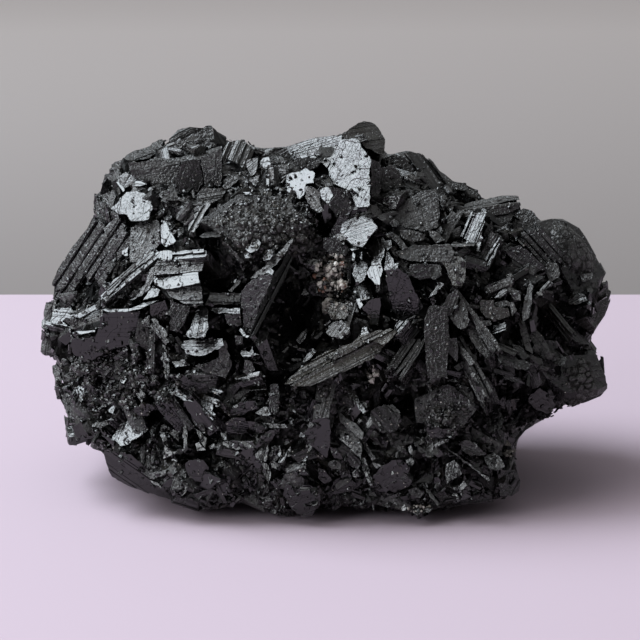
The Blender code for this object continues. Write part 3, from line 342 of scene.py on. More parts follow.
LEFT_FACES = (
    Facet(SHINE, 5.4, 90, 1.4, (
        (-32.4, 53.4), (-32.0, 53.8), (-29.6, 53.8), (-29.6, 52.0), (-31.4, 51.8), (-32.4, 52.4)), 0.05),
    Facet(SHINE, 5.2, 4, 0.8, ((-29.6, 53.6), (-23.2, 54.2), (-23.2, 53.6), (-29.6, 53.0)), 0.05),
    Facet(HAZE, 5.0, 3, 3.0, (
        (-32.4, 51.8), (-29.6, 52.0), (-23.2, 53.2), (-23.6, 49.8), (-29.4, 49.2), (-33.4, 49.0),
        (-33.0, 50.4)), 0.22),
    Facet(SHINE, 5.4, 4, 1.0, (
        (-33.4, 48.8), (-29.6, 49.2), (-29.4, 49.0), (-24.4, 49.6), (-24.0, 47.4), (-27.0, 46.8),
        (-31.0, 46.2), (-33.0, 47.2)), 0.04),
    Facet(HAZE, 5.0, 0, 3.0, (
        (-31.0, 46.2), (-27.0, 46.8), (-23.8, 47.4), (-23.4, 43.4), (-26.8, 43.2), (-30.0, 44.6)), 0.42),
    Facet(SHINE, 4.8, 3, 0.6, ((-27.0, 43.2), (-23.4, 43.6), (-23.4, 43.0), (-26.6, 42.6)), 0.1),
    Facet(SHINE, 4.8, 50, 0.8, (
        (-35.4, 44.0), (-34.4, 45.6), (-33.4, 46.6), (-32.0, 46.0), (-32.4, 44.8), (-34.0, 44.4)), 0.15),
    Facet(HAZE, 4.2, 65, 0.8, (
        (-36.8, 44.6), (-35.0, 47.0), (-34.0, 50.0), (-32.4, 52.0), (-33.0, 49.6), (-34.0, 46.4),
        (-35.6, 44.8), (-38.0, 44.0)), 0.5),
    Facet(HAZE, 4.6, 42, 3.4, (
        (-43.6, 44.6), (-41.6, 47.6), (-38.0, 50.6), (-34.0, 53.2), (-32.4, 53.2), (-36.0, 50.8),
        (-39.0, 48.4), (-42.0, 45.0)), 0.12),
    Facet(DOWN, 4.6, 0, 0.4, (
        (-44.0, 40.4), (-43.2, 41.4), (-36.0, 41.8), (-35.8, 39.0), (-35.6, 36.8), (-37.0, 36.0),
        (-38.4, 35.0), (-42.0, 34.0), (-45.6, 32.0), (-49.2, 33.0), (-50.0, 35.0), (-49.6, 36.2),
        (-45.0, 36.6), (-44.4, 38.0)), 0.05),
    Facet(SHINE, 5.0, 4, 0.6, (
        (-44.0, 42.0), (-40.0, 42.2), (-37.6, 42.4), (-35.4, 43.4), (-33.6, 44.0), (-32.0, 44.0),
        (-34.0, 43.2), (-36.0, 42.2), (-39.0, 41.6), (-42.4, 41.6)), 0.08),
    Facet(SHINE, 4.8, 4, 0.5, (
        (-49.6, 37.4), (-48.8, 37.8), (-45.0, 38.0), (-45.0, 37.6), (-48.4, 37.2)), 0.05),
    Facet(SHINE, 2.6, -6, 2.0, (
        (-54.0, 40.0), (-53.6, 41.6), (-52.0, 42.4), (-50.0, 42.8), (-49.2, 41.6), (-48.8, 40.4),
        (-51.0, 40.4), (-51.6, 39.8), (-50.4, 38.8), (-49.6, 38.4), (-52.0, 39.0), (-54.0, 39.4)), 0.15),
    Facet(FRONT, 3.0, 0, 0.6, (
        (-51.4, 40.0), (-49.0, 40.4), (-45.6, 40.6), (-45.4, 38.8), (-48.0, 38.4), (-50.0, 39.0)), 0.5),
    Facet(DOWN, 3.8, 70, 0.5, (
        (-34.0, 43.0), (-32.0, 43.6), (-31.0, 44.0), (-30.4, 42.0), (-31.0, 40.0), (-33.0, 40.0),
        (-34.0, 41.2)), 0.15),
    Facet(FRONT, 3.8, 60, 0.4, (
        (-30.0, 44.0), (-28.0, 43.2), (-26.0, 42.4), (-26.8, 40.0), (-28.4, 37.6), (-30.0, 38.0),
        (-30.0, 41.0)), 0.35),
    Facet(SHINE, 4.4, 80, 2.2, (
        (-25.6, 39.6), (-24.8, 42.4), (-23.2, 42.8), (-22.4, 42.0), (-22.4, 38.0), (-23.4, 36.4),
        (-26.0, 36.4), (-26.8, 37.2)), 0.18),
    Facet(SHINE, 5.0, 0, 2.2, (
        (-27.8, 34.6), (-27.2, 36.0), (-25.0, 36.4), (-19.6, 36.4), (-19.2, 35.0), (-21.6, 33.6),
        (-24.0, 32.8), (-26.8, 33.2)), 0.2),
    Facet(HAZE, 4.4, -52, 1.0, ((-33.8, 40.2), (-33.0, 40.4), (-30.4, 37.0), (-31.0, 36.4)), 0.3),
)
CENTRE_FACES = (
    Facet((-0.3, -0.95, 0.05), 5.2, 62, 0.6, (
        (-15.8, 45.6), (-14.0, 47.6), (-11.6, 49.2), (-9.4, 49.0), (-10.0, 47.0), (-11.6, 44.0),
        (-13.0, 40.4), (-14.0, 37.0), (-15.8, 38.0), (-15.4, 41.0), (-15.8, 43.4)), 0.3),
    Facet(RIGHT, 4.6, 63, 3.0, (
        (-9.4, 49.0), (-7.6, 51.6), (-6.4, 54.0), (-5.6, 52.4), (-7.0, 48.0), (-9.0, 44.0), (-11.0, 40.4),
        (-12.6, 37.4), (-14.0, 36.4), (-14.0, 37.0), (-13.0, 40.4), (-11.6, 44.0), (-10.0, 47.0)), 0.15),
    Facet(HAZE, 5.0, 42, 1.6, (
        (-14.0, 48.4), (-11.6, 50.4), (-8.0, 54.0), (-6.0, 56.0), (-5.4, 56.4), (-6.4, 54.0),
        (-8.4, 51.6), (-10.4, 49.6), (-12.8, 48.4)), 0.5),
    Facet(SHINE, 5.6, 60, 0.8, ((-11.0, 49.4), (-10.0, 50.6), (-9.2, 49.8), (-9.6, 49.0))),
    Facet(SHINE, 4.8, 60, 0.5, (
        (-15.0, 54.2), (-14.0, 55.6), (-12.4, 56.2), (-11.8, 55.4), (-12.4, 54.0), (-14.0, 53.4)), 0.18),
    Facet(SHINE, 4.8, 30, 0.5, (
        (-15.2, 53.2), (-14.2, 53.6), (-13.4, 52.8), (-14.0, 52.4), (-15.0, 52.4)), 0.15),
    Facet(SHINE, 4.8, 20, 0.5, (
        (-11.6, 52.8), (-10.8, 54.0), (-9.6, 54.0), (-9.0, 53.2), (-10.0, 52.0), (-11.2, 51.8)), 0.15),
    Facet(SHINE, 4.4, 0, 0.5, ((-15.4, 65.6), (-14.0, 65.6), (-13.6, 65.0), (-15.2, 65.0))),
    Facet(FRONT, 4.4, -45, 1.0, ((-19.6, 55.8), (-18.8, 55.6), (-15.2, 51.6), (-15.8, 51.4))),
    Facet(HAZE, 4.4, 45, 1.0, ((-18.4, 45.8), (-16.2, 48.0), (-15.8, 47.8), (-17.6, 45.6)), 0.5),
    Facet(RAISED, 3.6, 0, 3.4, ((-22.0, 45.4), (-15.8, 45.4), (-15.8, 43.2), (-23.0, 43.0)), 0.3),
    Facet(SHINE, 4.2, 0, 1.0, (
        (-22.4, 42.8), (-21.0, 42.4), (-16.0, 42.4), (-16.0, 41.2), (-21.0, 41.4), (-22.0, 42.0)), 0.08),
    Facet(FRONT, 3.8, 0, 2.0, (
        (-19.0, 41.2), (-15.8, 41.2), (-15.8, 39.0), (-18.0, 38.8), (-18.8, 40.0)), 0.5),
    Facet(SHINE, 5.2, -45, 0.6, (
        (-16.2, 38.0), (-15.8, 38.4), (-14.8, 37.0), (-14.0, 36.8), (-14.6, 36.4), (-15.4, 36.8))),
    Facet(SHINE, 4.2, 0, 2.0, (
        (-16.0, 33.4), (-15.0, 34.4), (-14.0, 33.6), (-13.4, 34.8), (-13.2, 33.4), (-12.0, 33.0),
        (-13.6, 32.6), (-15.4, 32.6)), 0.15),
    Facet(FRONT, 4.0, 80, 0.5, (
        (-15.0, 32.0), (-13.6, 31.6), (-13.0, 30.0), (-14.4, 29.0), (-15.4, 29.6)), 0.55),
    Facet(FRONT, 4.0, 80, 0.5, ((-17.0, 37.0), (-15.4, 36.8), (-15.4, 35.2), (-16.8, 35.0)), 0.5),
    Facet(FRONT, 4.2, 75, 0.6, (
        (-20.4, 35.0), (-19.0, 36.0), (-18.0, 33.0), (-18.4, 30.4), (-20.0, 31.6)), 0.55),
    Facet(HAZE, 3.6, 30, 0.5, ((-3.8, 45.0), (-3.2, 46.4), (-2.2, 45.2)), 0.1),
    Facet(HAZE, 4.2, 55, 3.0, (
        (-4.8, 36.0), (-3.6, 37.6), (-2.8, 38.0), (-3.0, 36.4), (-4.2, 35.2)), 0.15),
    Facet(SHINE, 4.6, 50, 1.0, (
        (-3.4, 31.6), (-2.6, 33.2), (-1.4, 34.4), (-0.8, 33.6), (-1.8, 32.4), (-3.0, 31.6)), 0.1),
    Facet(RAISED, 5.0, 27, 2.0, (
        (-7.2, 27.2), (-4.0, 30.4), (1.0, 33.6), (4.0, 34.4), (2.0, 31.6), (-3.0, 29.0),
        (-6.0, 27.2)), 0.5, 0.7),
    Facet(RAISED, 5.6, 27, 2.6, (
        (-6.0, 26.8), (-3.0, 28.8), (2.0, 31.4), (6.0, 33.6), (10.4, 36.0), (13.0, 35.0), (11.0, 32.6),
        (6.4, 30.4), (2.0, 28.4), (-2.0, 26.8)), 0.5, 0.8),
    Facet(RAISED, 5.2, 30, 2.0, (
        (4.0, 34.6), (6.4, 35.4), (8.0, 37.0), (8.6, 35.4), (6.0, 33.6), (2.4, 31.8)), 0.5, 0.75),
    Facet(RAISED, 5.6, 27, 2.6, (
        (8.0, 37.0), (10.4, 37.6), (14.0, 38.4), (15.4, 37.8), (14.4, 36.4), (12.8, 35.0), (10.4, 36.0),
        (8.6, 35.4)), 0.5, 1.0),
)
LOWER_LEFT_FACES = (
    Facet(SHINE, 6.0, 70, 0.4, (
        (-38.8, 21.0), (-38.2, 20.8), (-35.8, 20.4), (-35.4, 18.8), (-35.4, 17.2), (-36.8, 16.2),
        (-38.6, 15.0), (-40.0, 14.8), (-40.8, 15.8), (-41.8, 16.0), (-40.6, 18.0), (-39.6, 19.2)), 0.12),
    Facet(SHINE, 4.0, 80, 0.5, (
        (-48.6, 26.6), (-48.0, 27.2), (-47.0, 26.6), (-47.2, 25.2), (-47.4, 23.8), (-48.0, 24.4),
        (-48.8, 26.0)), 0.06),
    Facet(FRONT, 3.6, 60, 0.5, ((-47.0, 26.0), (-45.8, 24.8), (-47.2, 23.8)), 0.5),
    Facet(SHINE, 4.0, 30, 0.5, (
        (-45.8, 22.8), (-44.6, 23.2), (-44.4, 22.6), (-45.4, 21.8), (-45.8, 22.2)), 0.1),
    Facet(HAZE, 4.0, 30, 0.8, ((-45.2, 21.8), (-44.8, 21.6), (-39.6, 24.6), (-40.0, 24.8)), 0.3),
    Facet(SHINE, 4.0, 60, 0.8, (
        (-42.4, 22.0), (-40.8, 23.6), (-40.6, 23.2), (-41.4, 21.2), (-42.2, 21.6)), 0.2),
    Facet(SHINE, 4.2, 40, 0.6, (
        (-40.0, 28.0), (-39.2, 28.6), (-38.6, 28.2), (-39.2, 27.2), (-39.8, 27.4)), 0.1),
    Facet(HAZE, 4.0, 15, 1.0, (
        (-37.8, 27.2), (-36.0, 28.2), (-34.0, 28.4), (-34.0, 28.0), (-36.0, 27.4), (-37.4, 26.6)), 0.12),
    Facet(RAISED, 3.8, 15, 1.4, (
        (-45.6, 19.2), (-42.0, 20.0), (-39.6, 20.8), (-39.2, 20.4), (-41.6, 19.2), (-44.0, 18.4),
        (-45.6, 18.6))),
    Facet(LOW_SHINE, 3.8, 20, 0.8, (
        (-44.4, 16.4), (-43.8, 17.4), (-42.4, 17.6), (-41.6, 17.0), (-42.4, 16.6), (-43.6, 16.8)), 0.15),
    Facet(DOWN, 3.0, -20, 0.6, (
        (-49.6, 18.6), (-48.0, 19.6), (-45.6, 18.0), (-44.8, 16.4), (-47.2, 16.0), (-48.8, 16.6)), 0.2),
    Facet(LEFT, 2.2, 80, 0.8, (
        (-51.6, 25.0), (-48.4, 25.6), (-48.0, 23.6), (-47.2, 21.6), (-48.4, 20.0), (-50.4, 20.4),
        (-51.2, 23.0)), 0.6),
    Facet(LEFT, 2.0, 85, 0.8, ((-51.2, 21.0), (-50.4, 20.4), (-49.6, 16.6), (-50.6, 16.6)), 0.7),
    Facet(DOWN, 3.6, -35, 1.2, (
        (-43.2, 13.8), (-40.6, 13.6), (-37.8, 13.2), (-36.0, 11.6), (-34.0, 9.6), (-31.0, 7.2),
        (-29.6, 4.0), (-32.4, 4.8), (-38.0, 6.6), (-41.6, 8.6), (-42.4, 10.4), (-43.0, 12.4)), 0.15),
    Facet(FRONT, 4.2, -20, 1.0, (
        (-42.6, 13.4), (-38.4, 13.0), (-39.6, 11.6), (-41.6, 10.8), (-42.6, 12.0)), 0.6),
    Facet(LOW_SHINE, 4.6, 20, 1.0, (
        (-34.2, 9.2), (-32.0, 9.8), (-30.4, 10.2), (-31.6, 8.8), (-34.0, 8.2)), 0.2),
    Facet(LOW_SHINE, 4.2, -40, 0.8, ((-34.0, 8.0), (-32.6, 7.6), (-31.6, 6.4), (-32.0, 6.2)), 0.2),
    Facet(LOW_SHINE, 4.4, 60, 1.2, (
        (-29.2, 8.4), (-28.2, 8.2), (-27.2, 7.4), (-28.0, 5.6), (-28.8, 6.0)), 0.3),
    Facet(LOW_SHINE, 4.8, 50, 0.6, ((-28.2, 5.6), (-26.6, 7.4), (-25.8, 7.0), (-27.6, 4.8)), 0.08),
    Facet(DOWN, 3.2, 80, 0.6, ((-28.8, 4.4), (-27.2, 4.6), (-27.2, 2.4), (-28.4, 3.4)), 0.2),
    Facet(DOWN, 5.0, 0, 0.3, (
        (-27.0, 11.2), (-26.0, 12.0), (-23.4, 12.0), (-22.2, 10.4), (-22.4, 8.6), (-23.2, 7.4),
        (-25.0, 7.8), (-26.4, 9.0)), 0.1),
    Facet(LOW_SHINE, 4.6, 85, 0.5, (
        (-22.0, 9.2), (-21.6, 9.4), (-21.4, 8.0), (-21.8, 7.0), (-22.2, 7.6)), 0.05),
    Facet(LOW_SHINE, 5.0, 30, 0.5, ((-25.0, 15.2), (-24.2, 15.6), (-22.8, 14.0), (-24.6, 13.8)), 0.05),
    Facet(LOW_SHINE, 4.6, 30, 0.5, ((-22.4, 14.8), (-21.2, 15.2), (-21.0, 14.4), (-22.0, 14.2)), 0.2),
    Facet(HAZE, 5.0, -55, 3.0, (
        (-25.2, 18.4), (-24.4, 18.0), (-22.6, 16.4), (-23.0, 14.4), (-24.0, 16.0)), 0.12),
    Facet(HAZE, 4.8, 88, 3.0, (
        (-27.4, 17.6), (-26.8, 19.2), (-26.4, 16.8), (-26.6, 14.0), (-27.4, 14.0)), 0.25),
    Facet(SHINE, 5.0, -40, 3.0, (
        (-30.2, 26.0), (-28.8, 26.4), (-27.6, 25.6), (-26.0, 24.0), (-25.2, 23.6), (-26.8, 23.6),
        (-28.4, 24.6), (-30.0, 25.4)), 0.2),
    Facet(SHINE, 5.2, -45, 3.0, (
        (-25.4, 25.8), (-24.0, 24.8), (-21.4, 23.2), (-21.4, 22.4), (-21.6, 20.8), (-22.8, 22.2),
        (-24.8, 24.0), (-26.0, 25.2)), 0.22),
    Facet(SHINE, 4.8, -15, 0.8, (
        (-22.4, 26.4), (-21.0, 26.4), (-19.4, 25.6), (-20.4, 25.0), (-22.0, 25.8)), 0.1),
    Facet(DOWN, 4.4, -50, 1.5, (
        (-32.0, 24.4), (-30.0, 23.6), (-28.0, 21.0), (-26.4, 17.6), (-27.6, 16.0), (-29.6, 19.0),
        (-32.0, 21.6), (-33.0, 23.2)), 0.15),
    Facet(FRONT, 4.6, -60, 1.5, (
        (-26.0, 22.4), (-24.8, 22.4), (-23.6, 20.0), (-22.6, 16.8), (-24.0, 18.0), (-25.6, 20.0)), 0.5),
    Facet(DOWN, 4.2, 0, 0.6, (
        (-37.0, 22.8), (-34.4, 23.2), (-33.0, 22.4), (-34.4, 20.8), (-36.0, 20.8), (-37.2, 21.6)), 0.3),
    Facet(DOWN, 5.0, -20, 0.4, (
        (-29.6, 29.0), (-27.6, 29.2), (-25.4, 27.6), (-23.0, 27.4), (-22.4, 27.0), (-24.4, 25.8),
        (-26.4, 25.8), (-28.4, 27.2)), 0.15),
    Facet(FRONT, 4.2, 10, 1.0, (
        (-25.0, 30.8), (-22.0, 31.6), (-18.4, 33.6), (-17.6, 31.0), (-19.0, 28.4), (-23.0, 29.6)), 0.55),
    Facet(HAZE, 4.4, 0, 1.4, ((-29.6, 31.6), (-27.0, 32.0), (-26.0, 31.0), (-28.8, 30.4)), 0.15),
    Facet(HAZE, 4.0, 60, 0.6, ((-32.0, 17.0), (-31.2, 17.6), (-30.6, 16.0), (-31.4, 15.6)), 0.35),
    Facet(LOW_SHINE, 4.2, 10, 0.8, (
        (-31.0, 15.0), (-29.6, 13.6), (-27.2, 14.2), (-26.8, 13.8), (-29.6, 13.0), (-31.4, 12.2)), 0.15),
    Facet(LEFT, 1.4, 80, 0.8, (
        (-53.6, 30.8), (-52.8, 31.2), (-51.8, 29.6), (-51.8, 26.4), (-52.6, 26.4), (-53.2, 28.8)), 0.7),
)
LOWER_MIDDLE_FACES = (
    Facet(SHINE, 4.6, 8, 0.8, ((-15.8, 28.6), (-13.4, 29.0), (-13.2, 28.6), (-15.6, 28.0)), 0.1),
    Facet(DOWN, 4.2, 8, 0.8, (
        (-17.4, 26.8), (-15.4, 28.0), (-12.4, 28.4), (-12.4, 27.2), (-14.8, 26.6)), 0.3),
    Facet(FRONT, 4.0, 85, 0.8, (
        (-10.0, 27.0), (-8.4, 27.2), (-8.2, 22.0), (-9.2, 21.0), (-10.2, 22.4)), 0.5),
    Facet(HAZE, 4.8, 10, 0.5, (
        (-13.0, 21.4), (-11.6, 22.4), (-10.4, 22.6), (-9.8, 21.0), (-10.8, 20.8)), 0.15),
    Facet(DOWN, 4.2, 15, 0.8, (
        (-18.0, 22.0), (-16.0, 23.6), (-13.0, 23.8), (-12.2, 22.4), (-15.0, 21.2), (-17.4, 20.6)), 0.15),
    Facet(DOWN, 4.0, -10, 0.8, (
        (-19.8, 18.4), (-17.6, 20.4), (-15.0, 20.4), (-14.0, 18.6), (-15.2, 17.2), (-18.0, 17.4)), 0.15),
    Facet(DOWN, 4.4, -25, 0.8, (
        (-14.6, 19.8), (-12.8, 19.6), (-10.8, 18.4), (-11.6, 17.4), (-14.0, 18.0)), 0.15),
    Facet(DOWN, 4.2, 35, 0.6, (
        (-12.4, 16.0), (-10.0, 18.0), (-8.0, 18.2), (-9.6, 16.0), (-11.6, 14.8)), 0.35),
    Facet(LOW_SHINE, 5.0, -30, 3.0, (
        (-19.8, 15.2), (-18.4, 16.0), (-16.0, 15.8), (-13.6, 15.8), (-13.0, 14.6), (-14.8, 14.0),
        (-16.8, 14.0), (-18.8, 14.6)), 0.25),
    Facet(HAZE, 4.6, 80, 1.5, ((-20.0, 17.6), (-18.8, 17.8), (-18.6, 16.0), (-19.4, 16.0)), 0.2),
    Facet(HAZE, 4.2, -10, 1.5, ((-11.6, 19.4), (-7.0, 19.2), (-6.4, 18.4), (-10.0, 18.4)), 0.3),
    Facet(SHINE, 4.4, -30, 1.0, ((-7.2, 20.8), (-5.2, 20.2), (-5.6, 19.2)), 0.25),
    Facet(LOW_SHINE, 4.8, 80, 2.0, (
        (-13.2, 13.0), (-12.0, 14.2), (-10.4, 15.0), (-10.2, 14.0), (-10.8, 11.6), (-12.4, 12.0)), 0.1),
    Facet(LOW_SHINE, 4.6, 80, 2.0, (
        (-11.6, 11.6), (-10.4, 11.2), (-9.8, 9.0), (-10.4, 7.2), (-11.2, 9.0)), 0.15),
    Facet(LOW_SHINE, 4.4, 70, 3.0, (
        (-10.0, 13.6), (-8.0, 15.0), (-7.6, 13.0), (-9.0, 11.6), (-8.0, 10.8), (-9.6, 10.4),
        (-10.2, 12.0)), 0.3),
    Facet(LOW_SHINE, 4.4, 75, 1.5, ((-6.4, 14.0), (-5.8, 14.8), (-5.8, 12.8), (-6.6, 12.6)), 0.15),
    Facet(DOWN, 3.8, 30, 0.8, ((-8.8, 8.4), (-7.2, 7.6), (-7.0, 6.0), (-9.0, 6.4), (-10.0, 7.6)), 0.15),
    Facet(DOWN, 4.2, 20, 0.5, (
        (-7.4, 5.0), (-6.6, 7.2), (-5.6, 6.8), (-5.0, 5.4), (-3.2, 7.0), (-1.6, 6.8), (0.0, 5.0),
        (0.0, 3.0), (-1.6, 0.8), (-3.4, 0.6), (-5.6, 2.0), (-6.4, 3.6)), 0.12),
    Facet(LOW_SHINE, 4.4, -20, 0.5, ((-6.6, 8.4), (-5.4, 8.0), (-6.0, 7.6))),
    Facet(LOW_SHINE, 4.0, 45, 1.5, (
        (-5.6, 10.8), (-4.0, 11.2), (-2.8, 11.4), (-3.0, 9.6), (-4.4, 9.2), (-5.6, 10.0)), 0.3),
    Facet(RAISED, 5.6, 75, 3.0, (
        (2.6, 27.2), (3.4, 28.6), (2.8, 25.0), (2.0, 23.0), (1.8, 20.4), (0.0, 20.4), (-1.0, 21.2),
        (-1.2, 23.0), (0.4, 23.0), (1.6, 24.8)), 0.7),
    Facet(DOWN, 5.4, 60, 0.3, (
        (-3.8, 17.0), (-2.0, 18.8), (-1.4, 20.0), (0.4, 20.4), (2.0, 20.0), (2.2, 17.6), (2.0, 14.8),
        (1.4, 12.4), (0.0, 13.4), (-2.0, 15.2)), 0.08),
    Facet(DOWN, 4.6, 70, 0.6, ((2.0, 14.6), (3.4, 14.4), (4.6, 12.2), (2.8, 12.4)), 0.3),
    Facet(HAZE, 5.4, -47, 3.0, (
        (2.4, 17.8), (4.0, 19.4), (5.6, 18.4), (7.6, 16.6), (8.4, 15.0), (8.2, 12.2), (6.0, 14.4),
        (4.0, 16.0)), 0.5),
    Facet(HAZE, 5.4, -47, 4.0, (
        (3.6, 21.6), (5.0, 20.6), (7.6, 18.8), (8.8, 17.4), (8.4, 16.0), (6.0, 18.0), (4.0, 19.6)), 0.45),
    Facet(FRONT, 4.4, -47, 1.0, ((5.0, 14.0), (7.0, 12.8), (8.2, 11.6), (7.6, 10.0), (6.0, 11.0)), 0.45),
    Facet(FRONT, 4.4, 20, 0.5, (
        (1.8, 11.6), (3.0, 12.0), (4.2, 11.2), (4.0, 10.0), (2.6, 10.2), (1.6, 11.0)), 0.6),
    Facet(DOWN, 4.2, -45, 0.6, ((-0.4, 10.4), (1.0, 10.0), (2.4, 8.0), (1.0, 7.2), (-0.4, 8.4)), 0.3),
    Facet(LOW_SHINE, 4.6, 0, 0.5, ((6.4, 9.6), (7.6, 10.4), (8.2, 9.6), (7.6, 8.6), (6.6, 8.6)), 0.3),
    Facet(FRONT, 4.0, 25, 0.6, (
        (3.0, 7.0), (4.0, 8.0), (6.4, 8.4), (5.6, 7.4), (4.0, 6.4), (3.4, 6.0)), 0.55),
    Facet(SHINE, 5.2, -58, 1.5, (
        (5.0, 27.2), (5.8, 27.8), (7.2, 25.0), (9.2, 21.6), (8.6, 21.2), (6.4, 24.4)), 0.2),
    Facet(HAZE, 4.6, 60, 0.8, ((8.4, 23.4), (9.2, 23.8), (9.4, 22.4), (8.6, 22.4)), 0.2),
    Facet(LOW_SHINE, 5.6, -58, 1.5, (
        (7.8, 16.2), (8.6, 16.4), (10.0, 14.0), (11.2, 12.2), (10.4, 11.8), (9.0, 14.0)), 0.3),
    Facet(LOW_SHINE, 5.4, -72, 0.8, (
        (8.4, 13.6), (8.8, 13.6), (10.6, 7.0), (10.0, 6.8), (9.2, 10.0)), 0.15),
    Facet(LOW_SHINE, 5.4, -30, 0.8, ((10.4, 11.6), (11.8, 11.2), (12.4, 10.8), (11.4, 10.2)), 0.3),
    Facet(FRONT, 5.4, -47, 2.0, (
        (10.0, 21.0), (11.0, 22.4), (13.0, 23.2), (13.2, 23.0), (16.0, 20.8), (16.2, 20.0), (15.4, 18.0),
        (14.0, 17.4), (12.0, 17.6), (10.8, 19.0)), 0.5),
    Facet(HAZE, 5.6, -45, 3.0, ((13.2, 23.0), (14.4, 23.2), (16.0, 21.8), (16.0, 20.8)), 0.4),
    Facet(DOWN, 5.2, 30, 0.5, (
        (10.4, 8.4), (12.0, 10.4), (14.4, 12.0), (16.4, 12.0), (18.0, 10.4), (17.0, 8.0), (14.4, 6.0),
        (12.0, 5.6), (10.4, 6.8)), 0.12),
    Facet(LOW_SHINE, 3.6, 20, 1.5, ((12.0, 3.2), (14.4, 4.0), (15.4, 3.4), (13.6, 2.4)), 0.3),
    Facet(LOW_SHINE, 3.4, 10, 1.0, ((-12.0, 4.6), (-9.0, 5.2), (-9.0, 4.0), (-11.0, 3.6)), 0.5),
    Facet(LOW_SHINE, 3.2, 60, 1.0, ((-10.4, 3.0), (-8.4, 2.6), (-8.8, 1.2), (-10.4, 1.6)), 0.4),
    Facet(RAISED, 3.2, -10, 1.0, ((-16.0, 4.6), (-13.0, 4.4), (-11.6, 2.8), (-14.0, 3.4))),
)
